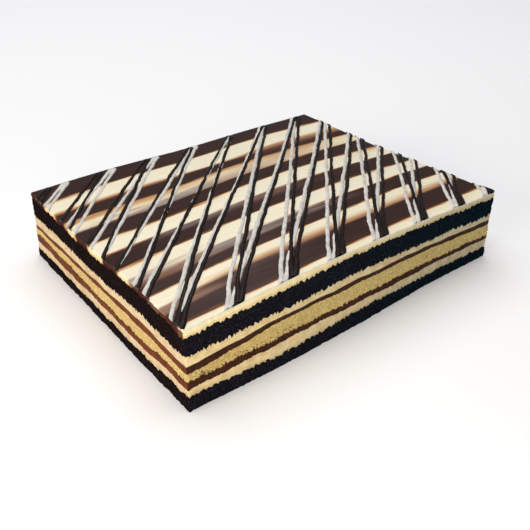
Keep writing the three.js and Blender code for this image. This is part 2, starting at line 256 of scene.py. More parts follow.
@dataclass(frozen=True)
class Form:
    """The outer form that all layers share."""

    length: float = 305.0
    width: float = 244.0
    side_height: float = 64.0
    waist: float = 0.9
    corner: float = 1.0
    crown: float = 2.8
    back_rise: Stations = (1, 2.2, 1, 1.6, 1.3)
    right_rise: Stations = (1.2, 0.6, -0.2, 0.4, 1.3)
    rise_fade: float = 5.0
    risen_layer: int = 6
    ripple: float = 0.2
    ripple_cycles: tuple[int, ...] = (9, 17, 29)
    ripple_phase: float = 2.4
    swells: tuple[Wave, ...] = (Wave(0.22, (70, 24, 9), 5), Wave(0.1, (30, 7, 9), 6))
    edge_points: tuple[int, int] = (24, 20)
    ledge_slope: float = 0.4
    front: Lean = Lean((2, 3.3, 1.6, -1.5, -0.7), (0, 0, 0, 0, 0), (1.3, 1.5, 1.5, 1.5, 0.5))
    back: Lean = Lean((1, 1.5, 3, 1.2, 0.5), (-0.4, 0, -0.5, 0, 0), (3.8, 3, 1.8, 1.4, 0.8))
    left: Lean = Lean((1, 1.4, 0.8, 0.4, 1.2), (0, 0, 0, -0.6, -1.7), (1.2, 1, 0.9, 1.1, -0.6))
    right: Lean = Lean((1.5, 1.2, 1.4, 0.9, 0.8), (0.4, 0.2, -0.8, 0.2, 0.9), (0.3, 1.2, 1, 0.9, 0.5))
    layers: tuple[Thickness, ...] = (
        Thickness((10.5, 8.7, 11, 9, 10), (10.5, 7.9, 6.7, 7.2, 10), 10.5),
        Thickness((5.3, 9.6, 6.9, 8, 7.7), (5.3, 6.2, 7, 6.7, 6.3), 6),
        Thickness((6, 3.9, 4.2, 3.9, 2.9), (6, 4.9, 5.3, 6.9, 7.2), 5),
        Thickness((6.3, 12.4, 13.1, 13, 11.1), (6.3, 10.3, 9.9, 7.4, 5.7), 9),
        Thickness((6, 3.6, 3.9, 3.9, 4.4), (6, 5.8, 4.4, 3.8, 3.3), 3.5),
        Thickness((7.1, 5, 5.7, 4.7, 5.3), (7.1, 6.8, 6.3, 8.1, 8.5), 6),
        Thickness((14.4, 15.2, 15.9, 16.3, 13.9), (14.4, 17.3, 16.5, 16.2, 15.2), 16.5),
        Thickness((6.4, 6.6, 5.7, 5.8, 5.7), (6.4, 4.3, 5.9, 5.7, 5.3), 6.5),
    )

    def extra_rise(self, u: np.ndarray, v: np.ndarray) -> np.ndarray:
        """What the top sponge rises beyond its thickness: a crown and the lifted back and right edges.

        Args:
            u: place along X, from -1 to 1.
            v: place along Y, from -1 to 1.

        Returns:
            Height to add.
        """
        near_back = ((v + 1) / 2) ** self.rise_fade
        near_right = ((u + 1) / 2) ** self.rise_fade
        crown = self.crown * (1 - u * u) * (1 - v * v)
        back = along(self.back_rise, u) * near_back
        right = along(self.right_rise, v) * near_right * (1 - near_back)
        return crown + (back + right)

    def level(self, count: int, u: np.ndarray, v: np.ndarray) -> np.ndarray:
        """Height of the top of the first layers.

        Args:
            count: how many layers.
            u: place along X, from -1 to 1.
            v: place along Y, from -1 to 1.

        Returns:
            Height at each place.
        """
        height = np.zeros(np.broadcast(u, v).shape)
        for number, layer in enumerate(self.layers[:count]):
            height = height + layer.at(u, v)
            if number == self.risen_layer:
                height = height + self.extra_rise(u, v)
        return height

    def rippled(self, count: int, turn: np.ndarray) -> np.ndarray:
        """Small waves of a level round the cut sides.

        Args:
            count: which level.
            turn: share of the way round, from 0 to 1.

        Returns:
            Height to add to the level.
        """
        first = count * len(self.ripple_cycles)
        return sum(
            self.ripple * np.sin(TURN * cycles * turn + self.ripple_phase * (first + number))
            for number, cycles in enumerate(self.ripple_cycles)
        )

    def stand_out(self, lean: Lean, t: np.ndarray, z: np.ndarray, ledge: np.ndarray | float) -> np.ndarray:
        """How far a side stands out from the plain rectangle.

        Args:
            lean: the side.
            t: place along it, from -1 to 1.
            z: height.
            ledge: share of the base sponge's ledge to add.

        Returns:
            Distance outwards; the waist draws it in halfway up, between the corners.
        """
        rise = np.clip(z / self.side_height, 0, 1)
        slant = along(lean.foot, t) * (1 - rise) + along(lean.brow, t) * rise
        return slant - self.waist * np.sin(math.pi * rise) * (1 - t**4) + ledge * along(lean.ledge, t)

    def outline(
        self,
        u: np.ndarray,
        v: np.ndarray,
        z: np.ndarray,
        out: np.ndarray | float = 0.0,
        ledge: np.ndarray | float = 0.0,
    ) -> np.ndarray:
        """Point of the cut outline.

        Args:
            u: place along X, from -1 to 1.
            v: place along Y, from -1 to 1.
            z: height.
            out: extra distance outwards.
            ledge: share of the base sponge's ledge to add.

        Returns:
            Points, shape (..., 3).
        """
        left, right = (self.stand_out(side, v, z, ledge) for side in (self.left, self.right))
        front, back = (self.stand_out(side, u, z, ledge) for side in (self.front, self.back))
        lean_x = np.where(u < 0, left, right)
        lean_y = np.where(v < 0, front, back)
        x = u * (self.length / 2 + lean_x + out)
        y = v * (self.width / 2 + lean_y + out)
        return np.stack(np.broadcast_arrays(x, y, z), axis=-1).astype(float)

    def surface(self, x: np.ndarray, y: np.ndarray) -> np.ndarray:
        """Height of the glaze over a point of the plan: the top level with low, broad swells.

        Args:
            x: place along X.
            y: place along Y.

        Returns:
            Height at each place.
        """
        u = np.clip(x / (self.length / 2), -1, 1)
        v = np.clip(y / (self.width / 2), -1, 1)
        flat = np.stack(np.broadcast_arrays(x, y, 0.0), axis=-1)
        return self.level(len(self.layers), u, v) + pile(self.swells, flat)


# The corners of the plan, counter-clockwise from the front right one.
CORNERS = ((1, -1), (1, 1), (-1, 1), (-1, -1))


@dataclass(frozen=True)
class Perimeter:
    """Even steps round the plan of the cake, counter-clockwise from the front right corner."""

    form: Form
    step: float
    arc_points: int = 13

    def places(self) -> tuple[np.ndarray, np.ndarray, np.ndarray]:
        """Walks round a rectangle with small round corners.

        Returns:
            u and v of each step, each from -1 to 1, and the share of the way round, counted
            so that it agrees with the ripple of the levels.
        """
        r = self.form.corner
        half = np.array([self.form.length / 2, self.form.width / 2])
        arc = np.linspace(-math.pi / 2, 0, self.arc_points)
        points = []
        for quarter, sign in enumerate(CORNERS):
            angle = arc + quarter * math.pi / 2
            centre = np.array(sign) * (half - r)
            points.append(centre + r * np.stack([np.cos(angle), np.sin(angle)], axis=-1))
        path = np.concatenate(points)
        path = np.concatenate([path, path[:1]])
        run = np.concatenate([[0], np.cumsum(np.linalg.norm(np.diff(path, axis=0), axis=1))])
        count = int(run[-1] / self.step)
        s = np.arange(count) / count * run[-1]
        x = np.interp(s, run, path[:, 0])
        y = np.interp(s, run, path[:, 1])
        long_steps, short_steps = self.form.edge_points
        whole = 2 * (long_steps + short_steps)
        marks = np.cumsum([long_steps, short_steps, long_steps, short_steps]) / whole
        corner_runs = run[np.arange(len(CORNERS)) * self.arc_points + self.arc_points // 2]
        first = corner_runs[0]
        turn = np.interp(s, np.append(corner_runs, first + run[-1]), np.append(marks, marks[0] + 1))
        turn = np.where(s < first, marks[0] - (first - s) / self.form.length * marks[0], turn)
        return x / half[0], y / half[1], turn


# ---- Meshes ----


class MeshMaker:
    """Turns arrays of points and faces into a Blender object."""

    @staticmethod
    def make(name: str, points: np.ndarray, quads: np.ndarray, tris: np.ndarray) -> bpy.types.Object:
        """Makes a mesh object that is smooth but for its creases.

        Args:
            name: the object's name.
            points: shape (n, 3), in millimetres.
            quads: point numbers, shape (m, 4).
            tris: point numbers, shape (k, 3).

        Returns:
            The object, linked to the scene.
        """
        mesh = bpy.data.meshes.new(name)
        corners = np.concatenate([quads.ravel(), tris.ravel()]).astype(np.int32)
        starts = np.concatenate([np.arange(len(quads)) * 4, len(quads) * 4 + np.arange(len(tris)) * 3])
        mesh.vertices.add(len(points))
        mesh.vertices.foreach_set("co", (points * MM).astype(np.float32).ravel())
        mesh.loops.add(len(corners))
        mesh.loops.foreach_set("vertex_index", corners)
        mesh.polygons.add(len(starts))
        mesh.polygons.foreach_set("loop_start", starts.astype(np.int32))
        mesh.update(calc_edges=True)
        mesh.validate()
        mesh.shade_smooth()
        mesh.set_sharp_from_angle(angle=CREASE)
        obj = bpy.data.objects.new(name, mesh)
        bpy.context.scene.collection.objects.link(obj)
        return obj

    @staticmethod
    def band(rows: int, count: int, start: int = 0) -> np.ndarray:
        """Quads between closed rings.

        Args:
            rows: number of rings.
            count: points in each ring.
            start: number of the first point.

        Returns:
            Point numbers, shape ((rows - 1) * count, 4).
        """
        i = np.arange(count)
        j = (i + 1) % count
        low = start + np.arange(rows - 1)[:, None] * count
        return np.stack([low + i, low + j, low + count + j, low + count + i], axis=-1).reshape(-1, 4)

    @staticmethod
    def fan(centre: int, start: int, count: int, upwards: bool) -> np.ndarray:
        """Triangles from one point to a ring.

        Args:
            centre: number of the middle point.
            start: number of the ring's first point.
            count: points in the ring.
            upwards: whether the fan faces up.

        Returns:
            Point numbers, shape (count, 3).
        """
        i = np.arange(count)
        j = (i + 1) % count
        pair = (i, j) if upwards else (j, i)
        return np.stack([np.full(count, centre), start + pair[0], start + pair[1]], axis=-1)

    @staticmethod
    def closed(rings: int, count: int, start: int = 0) -> tuple[np.ndarray, np.ndarray]:
        """Faces of a closed form: bands between its rings and a fan to a point at either end.

        Args:
            rings: number of rings, from the bottom or the start.
            count: points in each ring.
            start: number of the first point. The two end points follow the last ring.

        Returns:
            Quads and triangles.
        """
        last = start + rings * count
        low = MeshMaker.fan(last, start, count, upwards=False)
        high = MeshMaker.fan(last + 1, last - count, count, upwards=True)
        return MeshMaker.band(rings, count, start), np.concatenate([low, high])

    @staticmethod
    def map_points(obj: bpy.types.Object, name: str, values: np.ndarray) -> None:
        """Stores two numbers for each point as a UV map.

        Args:
            obj: a mesh object.
            name: the map's name.
            values: shape (number of points, 2).
        """
        layer = obj.data.uv_layers.new(name=name)
        corner = np.zeros(len(obj.data.loops), np.int32)
        obj.data.loops.foreach_get("vertex_index", corner)
        layer.data.foreach_set("uv", values[corner].astype(np.float32).ravel())


# ---- Shader nodes ----

Socket = bpy.types.NodeSocket
Feed = Socket | float | tuple

# The share and the two colours among the inputs of a colour mix, and its result.
MIX_INPUTS = (0, 6, 7)
MIX_RESULT = 2


class Op(Enum):
    """Sums that a Math node does."""

    ADD = "ADD"
    SUBTRACT = "SUBTRACT"
    MULTIPLY = "MULTIPLY"
    DIVIDE = "DIVIDE"
    MAXIMUM = "MAXIMUM"
    ABSOLUTE = "ABSOLUTE"
    GREATER_THAN = "GREATER_THAN"
    LESS_THAN = "LESS_THAN"


class Blend(Enum):
    """Ways to mix two colours."""

    PLAIN = "MIX"
    TINT = "MULTIPLY"


class Graph:
    """Short calls that add shader nodes to one tree and join them."""

    def __init__(self, tree: bpy.types.NodeTree) -> None:
        """Works on the given tree."""
        self.tree = tree

    def node(self, kind: str, **settings: object) -> bpy.types.Node:
        """Adds a node.

        Args:
            kind: the node's type.
            settings: properties to set on it.

        Returns:
            The node.
        """
        made = self.tree.nodes.new(kind)
        for name, value in settings.items():
            setattr(made, name, value)
        return made

    def feed(self, socket: Socket, value: Feed) -> None:
        """Links a socket into another, or sets a plain value.

        Args:
            socket: the input to feed.
            value: a socket or a plain value.
        """
        if isinstance(value, Socket):
            self.tree.links.new(value, socket)
        else:
            socket.default_value = value

    def calc(self, operation: Op, *values: Feed, clamp: bool = False) -> Socket:
        """Adds one sum.

        Args:
            operation: what to do.
            values: up to three numbers or sockets.
            clamp: whether to keep the result from 0 to 1.

        Returns:
            The result.
        """
        made = self.node("ShaderNodeMath", operation=operation.value, use_clamp=clamp)
        for socket, value in zip(made.inputs, values):
            self.feed(socket, value)
        return made.outputs[0]

    def blend(self, share: Feed, first: Feed, second: Feed, way: Blend = Blend.PLAIN) -> Socket:
        """Mixes two colours.

        Args:
            share: 0 gives the first, 1 the second or, as a tint, the two multiplied.
            first: a colour.
            second: a colour.
            way: how to mix them.

        Returns:
            The mixed colour.
        """
        made = self.node("ShaderNodeMix", data_type="RGBA", blend_type=way.value)
        for index, value in zip(MIX_INPUTS, (share, first, second)):
            self.feed(made.inputs[index], value)
        return made.outputs[MIX_RESULT]

    def span(self, value: Feed, low: Feed, high: Feed, to_low: Feed = 0.0, to_high: Feed = 1.0) -> Socket:
        """Eases a value from one range into another.

        Args:
            value: the value.
            low: start of its range.
            high: end of its range.
            to_low: result at the start.
            to_high: result at the end.

        Returns:
            The eased value.
        """
        made = self.node("ShaderNodeMapRange", interpolation_type="SMOOTHSTEP")
        for socket, given in zip(made.inputs, (value, low, high, to_low, to_high)):
            self.feed(socket, given)
        return made.outputs[0]

    def noise(self, vector: Feed, scale: Feed, detail: float = 2.0, rough: float = 0.5) -> Socket:
        """Adds cloudy noise.

        Args:
            vector: where to read it.
            scale: waves in a metre.
            detail: octaves.
            rough: strength of the finer octaves.

        Returns:
            Values from 0 to 1.
        """
        made = self.node("ShaderNodeTexNoise")
        values = {"Vector": vector, "Scale": scale, "Detail": detail, "Roughness": rough}
        for name, value in values.items():
            self.feed(made.inputs[name], value)
        return made.outputs[0]

    def cells(self, vector: Feed, scale: Feed) -> bpy.types.Node:
        """Adds a pattern of crumb-like cells.

        Args:
            vector: where to read it.
            scale: cells in a metre.

        Returns:
            The node, with Distance and Color outputs.
        """
        made = self.node("ShaderNodeTexVoronoi")
        self.feed(made.inputs["Vector"], vector)
        self.feed(made.inputs["Scale"], scale)
        return made

    def stretch(self, vector: Feed, scale: Place) -> Socket:
        """Scales a position along X, Y and Z.

        Args:
            vector: the position.
            scale: factor along each axis.

        Returns:
            The scaled position.
        """
        made = self.node("ShaderNodeVectorMath", operation="MULTIPLY")
        self.feed(made.inputs[0], vector)
        self.feed(made.inputs[1], scale)
        return made.outputs[0]

    def ramp(self, value: Feed, stops: list[tuple[float, Colour]]) -> Socket:
        """Adds a colour ramp.

        Args:
            value: place on the ramp, from 0 to 1.
            stops: places and colours, in order.

        Returns:
            The colour.
        """
        made = self.node("ShaderNodeValToRGB")
        elements = made.color_ramp.elements
        while len(elements) < len(stops):
            elements.new(1.0)
        for element, (place, colour) in zip(elements, stops):
            element.position = place
            element.color = colour
        self.feed(made.inputs[0], value)
        return made.outputs[0]

    def own_place(self) -> Socket:
        """Position in the object's own coordinates."""
        return self.node("ShaderNodeTexCoord").outputs["Object"]

    def own_map(self, name: str) -> Socket:
        """One of the piece's own UV maps."""
        return self.node("ShaderNodeUVMap", uv_map=name).outputs[0]

    def split(self, vector: Socket) -> list[Socket]:
        """Takes a vector apart.

        Args:
            vector: the vector.

        Returns:
            Its X, Y and Z.
        """
        made = self.node("ShaderNodeSeparateXYZ")
        self.feed(made.inputs[0], vector)
        return list(made.outputs)

    def channels(self, colour: Socket) -> list[Socket]:
        """Takes a colour apart.

        Args:
            colour: the colour.

        Returns:
            Its red, green and blue.
        """
        made = self.node("ShaderNodeSeparateColor")
        self.feed(made.inputs[0], colour)
        return list(made.outputs)

    def swing(self, noise: Feed, reach: Feed) -> Socket:
        """Moves a noise from the range 0 to 1 to either side of 0 and scales it."""
        return self.calc(Op.MULTIPLY, self.calc(Op.SUBTRACT, noise, 0.5), reach)

    def use(self, group: bpy.types.NodeTree, **inputs: Feed) -> bpy.types.Node:
        """Adds a node group.

        Args:
            group: the group's tree.
            inputs: values by input name, with _ for a space.

        Returns:
            The node.
        """
        made = self.node("ShaderNodeGroup", node_tree=group)
        for name, value in inputs.items():
            self.feed(made.inputs[name.replace("_", " ")], value)
        return made


@dataclass(frozen=True)
class Plug:
    """One named input or output of a node group."""

    name: str
    kind: str = "Float"
    value: float = 0.0


class Effects:
    """Node groups that several finishes share."""

    # Open crumb: its warp and clumps against the size of a grain, the rims of its pits as shares
    # of the distance between grains, and how high grains and clumps stand.
    warp_scale = 0.8
    warp_reach = 0.9
    clump_scale = 0.35
    closed_rim = 1.05
    widest_pit = 0.9
    flat_share = 0.35
    hollow_from = (0.34, 0.5)
    hollow_grain = 0.35
    grain_height = 0.6
    clump_height = 0.8
    # Edge smear: how strongly the distance counts, and where the smear starts and is full.
    smear_pull = 0.45
    smear_edge = (0.06, 0.16)
    # Comb streaks: how far a streak is drawn out along X.
    streak_stretch = (0.045, 1.0, 1.0)

    def __init__(self) -> None:
        """Builds every group once."""
        self.crumb = self._crumb()
        self.smear = self._smear()
        self.streaks = self._streaks()
        self.chocolate = self._chocolate()

    @staticmethod
    def _open(
        name: str, inputs: list[Plug], outputs: list[Plug]
    ) -> tuple[Graph, bpy.types.Node, bpy.types.Node]:
        """Starts a group.

        Args:
            name: the group's name.
            inputs: its inputs.
            outputs: its outputs.

        Returns:
            The graph, the node that holds the inputs and the node that takes the outputs.
        """
        tree = bpy.data.node_groups.new(name, "ShaderNodeTree")
        for way, plugs in (("INPUT", inputs), ("OUTPUT", outputs)):
            for plug in plugs:
                socket = tree.interface.new_socket(
                    name=plug.name, in_out=way, socket_type=f"NodeSocket{plug.kind}"
                )
                if plug.kind == "Float":
                    socket.default_value = plug.value
        graph = Graph(tree)
        return graph, graph.node("NodeGroupInput"), graph.node("NodeGroupOutput")

    def _crumb(self) -> bpy.types.NodeTree:
        """Open crumb: rounded grains with dark pits between them.

        Returns:
            Group with Grain (0 pit, 1 grain), Tint (random per grain) and Height outputs.
        """
        graph, given, result = self._open(
            "Open Crumb",
            [Plug("Place", "Vector"), Plug("Size", value=0.0012), Plug("Openness", value=0.5)],
            [Plug("Grain"), Plug("Tint"), Plug("Height")],
        )
        scale = graph.calc(Op.DIVIDE, 1.0, given.outputs["Size"])
        warp = graph.node("ShaderNodeTexNoise")
        graph.feed(warp.inputs["Vector"], given.outputs["Place"])
        graph.feed(warp.inputs["Scale"], graph.calc(Op.MULTIPLY, scale, self.warp_scale))
        shift = graph.node("ShaderNodeVectorMath", operation="SCALE")
        graph.feed(shift.inputs[0], warp.outputs["Color"])
        graph.feed(shift.inputs["Scale"], graph.calc(Op.MULTIPLY, given.outputs["Size"], self.warp_reach))
        place = graph.node("ShaderNodeVectorMath", operation="ADD")
        graph.feed(place.inputs[0], given.outputs["Place"])
        graph.feed(place.inputs[1], shift.outputs[0])
        cells = graph.cells(place.outputs[0], scale)
        clump_scale = graph.calc(Op.MULTIPLY, scale, self.clump_scale)
        clumps = graph.noise(place.outputs[0], clump_scale, detail=3.0, rough=0.6)
        rim = graph.calc(Op.MULTIPLY, given.outputs["Openness"], self.widest_pit)
        rim = graph.calc(Op.SUBTRACT, self.closed_rim, rim)
        grain = graph.span(cells.outputs["Distance"], rim, graph.calc(Op.MULTIPLY, rim, self.flat_share))
        hollow = graph.span(clumps, *self.hollow_from)
        grain = graph.calc(Op.MULTIPLY, grain, graph.span(hollow, 0.0, 1.0, self.hollow_grain, 1.0))
        grain_height = graph.calc(Op.MULTIPLY, grain, self.grain_height)
        height = graph.calc(Op.ADD, grain_height, graph.calc(Op.MULTIPLY, clumps, self.clump_height))
        graph.feed(result.inputs["Grain"], grain)
        graph.feed(result.inputs["Tint"], graph.channels(cells.outputs["Color"])[0])
        graph.feed(result.inputs["Height"], height)
        return graph.tree

    def _smear(self) -> bpy.types.NodeTree:
        """Ragged smear that reaches in from an edge.

        Returns:
            Group with a Mask output, 1 where the smear lies.
        """
        graph, given, result = self._open(
            "Edge Smear",
            [
                Plug("Place", "Vector"),
                Plug("Distance"),
                Plug("Reach", value=0.002),
                Plug("Grain", value=0.0015),
            ],
            [Plug("Mask")],
        )
        scale = graph.calc(Op.DIVIDE, 1.0, given.outputs["Grain"])
        ragged = graph.noise(given.outputs["Place"], scale, detail=3.0, rough=0.65)
        share = graph.calc(Op.DIVIDE, given.outputs["Distance"], given.outputs["Reach"])
        near = graph.calc(Op.MULTIPLY, graph.calc(Op.SUBTRACT, 1.0, share), self.smear_pull)
        total = graph.calc(Op.ADD, near, graph.calc(Op.SUBTRACT, ragged, 0.5))
        graph.feed(result.inputs["Mask"], graph.span(total, *self.smear_edge))
        return graph.tree

    def _streaks(self) -> bpy.types.NodeTree:
        """Long fine lines along X, left by a comb or a knife.

        Returns:
            Group with a Line output from 0 to 1.
        """
        graph, given, result = self._open(
            "Comb Streaks", [Plug("Place", "Vector"), Plug("Pitch", value=0.002)], [Plug("Line")]
        )
        long_way = graph.stretch(given.outputs["Place"], self.streak_stretch)
        scale = graph.calc(Op.DIVIDE, 1.0, given.outputs["Pitch"])
        graph.feed(result.inputs["Line"], graph.noise(long_way, scale, detail=3.0, rough=0.6))
        return graph.tree

    def _chocolate(self) -> bpy.types.NodeTree:
        """Colour of white chocolate drawn into dark, from how much of it is white.

        Returns:
            Group with Milk and Lilac inputs and a Colour output.
        """
        graph, given, result = self._open(
            "Chocolate Blend", [Plug("Milk", value=1.0), Plug("Lilac")], [Plug("Colour", "Color")]
        )
        warm = [
            (0.0, linear("2f211e")),
            (0.2, linear("533022")),
            (0.45, linear("a66f43")),
            (0.65, linear("c99c6c")),
            (0.85, linear("e6d4af")),
            (1.0, linear("f0e8d0")),
        ]
        cool = [
            (0.0, linear("2e272a")),
            (0.3, linear("645856")),
            (0.55, linear("93877f")),
            (1.0, linear("e8e1d2")),
        ]
        first = graph.ramp(given.outputs["Milk"], warm)
        second = graph.ramp(given.outputs["Milk"], cool)
        graph.feed(result.inputs["Colour"], graph.blend(given.outputs["Lilac"], first, second))
        return graph.tree


# ---- Finishes ----


# Where the front side fades out: at the corners, by how much nearer than the end it is, and
# inwards, by its distance. Both in metres.
CORNER_FADE = (-0.0005, 0.001)
DEPTH_FADE = (0.012, 0.01)


@dataclass(frozen=True)
class Finish:
    """One surface: plain shader values, and a pattern that its subclasses add."""

    name: str
    roughness: float = 0.8
    gloss: float = 0.4
    coat: float = 0.0
    coat_roughness: float = 0.12
    glow_through: float = 0.0
    glow_depth: float = 0.002
    bump: float = 0.3
    bump_depth: float = 0.0006
    # painted light and shade: factors for the front side, at its left and right ends, standing in for how the
    # lamps light it
    front_painted_light: tuple[Colour, Colour] | None = None

    def material(self, effects: Effects) -> bpy.types.Material:
        """Builds the material.

        Args:
            effects: the shared node groups.

        Returns:
            The material, with its pattern joined to its shader.
        """
        made = bpy.data.materials.new(self.name)
        made.use_nodes = True
        graph = Graph(made.node_tree)
        shader = made.node_tree.nodes["Principled BSDF"]
        values = {
            "Roughness": self.roughness,
            "Specular IOR Level": self.gloss,
            "Coat Weight": self.coat,
            "Coat Roughness": self.coat_roughness,
            "Subsurface Weight": self.glow_through,
            "Subsurface Scale": self.glow_depth,
        }
        for name, value in values.items():
            shader.inputs[name].default_value = value
        self.dress(graph, shader, effects)
        return made

    def dress(self, graph: Graph, shader: bpy.types.Node, effects: Effects) -> None:
        """Joins this finish's pattern to the shader; a plain finish has none."""

    @staticmethod
    def front_share(graph: Graph, place: Socket) -> Socket:
        """Finds the front side: close to it, and closer to it than to the left or right side.

        Args:
            graph: the material's graph.
            place: position in the piece.

        Returns:
            1 on the front side, 0 elsewhere.
        """
        x, y, _ = graph.split(place)
        from_end = graph.calc(Op.SUBTRACT, Form.length / 2 * MM, graph.calc(Op.ABSOLUTE, x))
        from_front = graph.calc(Op.ADD, Form.width / 2 * MM, y)
        closer = graph.span(graph.calc(Op.SUBTRACT, from_end, from_front), *CORNER_FADE)
        return graph.calc(Op.MULTIPLY, closer, graph.span(from_front, *DEPTH_FADE))

    def paint_front_light(self, graph: Graph, place: Socket, colour: Socket) -> Socket:
        """Paints light and shade on the front side, from one factor at its left end to another at its right
        end, in place of how the lamps light that side.

        Args:
            graph: the material's graph.
            place: position in the piece.
            colour: the finish's colour.

        Returns:
            The colour, multiplied by the painted light and shade on the front side.
        """
        if self.front_painted_light is None:
            return colour
        reach = Form.length / 2 * MM
        tint = graph.blend(graph.span(graph.split(place)[0], -reach, reach), *self.front_painted_light)
        return graph.blend(self.front_share(graph, place), colour, tint, Blend.TINT)

    def raise_from(self, graph: Graph, shader: bpy.types.Node, height: Socket) -> None:
        """Tilts the surface by a height pattern.

        Args:
            graph: the material's graph.
            shader: its shader.
            height: the pattern, from 0 to 1.
        """
        bump = graph.node("ShaderNodeBump")
        bump.inputs["Strength"].default_value = self.bump
        bump.inputs["Distance"].default_value = self.bump_depth
        graph.feed(bump.inputs["Height"], height)
        graph.feed(shader.inputs["Normal"], bump.outputs[0])


@dataclass(frozen=True)
class SpongeFinish(Finish):
    """Cut sponge: grains, pits between them, stray spots and a smear from the layer below."""

    grain: Colour = (0.5, 0.5, 0.5, 1.0)
    pit: Colour = (0.1, 0.1, 0.1, 1.0)
    spot: Colour = (0.3, 0.1, 0.05, 1.0)
    smear: Colour = (0.05, 0.02, 0.02, 1.0)
    size: float = 0.0014
    openness: float = 0.55
    darkest_grain: float = 0.78
    cloud_scale: float = 60.0
    cloud_range: tuple[float, float] = (0.35, 0.75)
    cloud_share: float = 0.35
    spots: float = 0.0
    spot_scale: float = 170.0
    spot_range: tuple[float, float] = (0.66, 0.72)
    smear_reach: float = 0.0
    smear_grain: float = 0.0011
    smear_stretch: Place = (1.0, 1.0, 0.4)

    def dress(self, graph: Graph, shader: bpy.types.Node, effects: Effects) -> None:
        """Joins the crumb pattern to the shader.

        Args:
            graph: the material's graph.
            shader: its shader.
            effects: the shared node groups.
        """
        place = graph.own_place()
        crumb = graph.use(effects.crumb, Place=place, Size=self.size, Openness=self.openness)
        tint = graph.span(crumb.outputs["Tint"], 0.0, 1.0, self.darkest_grain, 1.0)
        colour = graph.blend(graph.calc(Op.MULTIPLY, crumb.outputs["Grain"], tint), self.pit, self.grain)
        clouds = graph.noise(place, self.cloud_scale, detail=3.0)
        clouds = graph.span(clouds, *self.cloud_range, 0.0, self.cloud_share)
        colour = graph.blend(clouds, colour, self.pit)
        if self.spots:
            spots = graph.span(graph.noise(place, self.spot_scale), *self.spot_range, 0.0, self.spots)
            colour = graph.blend(spots, colour, self.spot)
        if self.smear_reach:
            smear = graph.use(
                effects.smear,
                Place=graph.stretch(place, self.smear_stretch),
                Distance=graph.split(graph.own_map("Band"))[0],
                Reach=self.smear_reach,
                Grain=self.smear_grain,
            )
            colour = graph.blend(smear.outputs["Mask"], colour, self.smear)
        graph.feed(shader.inputs["Base Color"], self.paint_front_light(graph, place, colour))
        self.raise_from(graph, shader, crumb.outputs["Height"])


@dataclass(frozen=True)
class FillingFinish(Finish):
    """Spread filling: nearly even colour with soft clouds and drag lines."""

    body: Colour = (0.8, 0.7, 0.5, 1.0)
    shade: Colour = (0.6, 0.5, 0.3, 1.0)
    cloud_scale: float = 130.0
    cloud_share: float = 0.7
    drag_scale: float = 700.0
    drag_share: float = 0.3
    drag_stretch: Place = (0.25, 0.25, 1.0)
    shade_range: tuple[float, float] = (0.38, 0.68)

    def dress(self, graph: Graph, shader: bpy.types.Node, effects: Effects) -> None:
        """Joins the clouds and lines to the shader.

        Args:
            graph: the material's graph.
            shader: its shader.
            effects: the shared node groups; not used here.
        """
        place = graph.own_place()
        clouds = graph.noise(place, self.cloud_scale, detail=4.0, rough=0.6)
        clouds = graph.calc(Op.MULTIPLY, clouds, self.cloud_share)
        drag = graph.noise(graph.stretch(place, self.drag_stretch), self.drag_scale)
        share = graph.calc(Op.ADD, clouds, graph.calc(Op.MULTIPLY, drag, self.drag_share))
        colour = graph.blend(graph.span(share, *self.shade_range), self.body, self.shade)
        graph.feed(shader.inputs["Base Color"], self.paint_front_light(graph, place, colour))
        self.raise_from(graph, shader, share)


@dataclass(frozen=True)
class Tone:
    """Share of white chocolate, and how greyish it looks, at one place across a stripe."""

    place: float
    milk: float
    lilac: float = 0.0


Tones = tuple[Tone, ...]


@dataclass(frozen=True)
class Stripe:
    """One stripe of the glaze: where its far edge runs and its tones, at five even steps along X."""

    edge: Stations
    tones: tuple[Tones, ...]


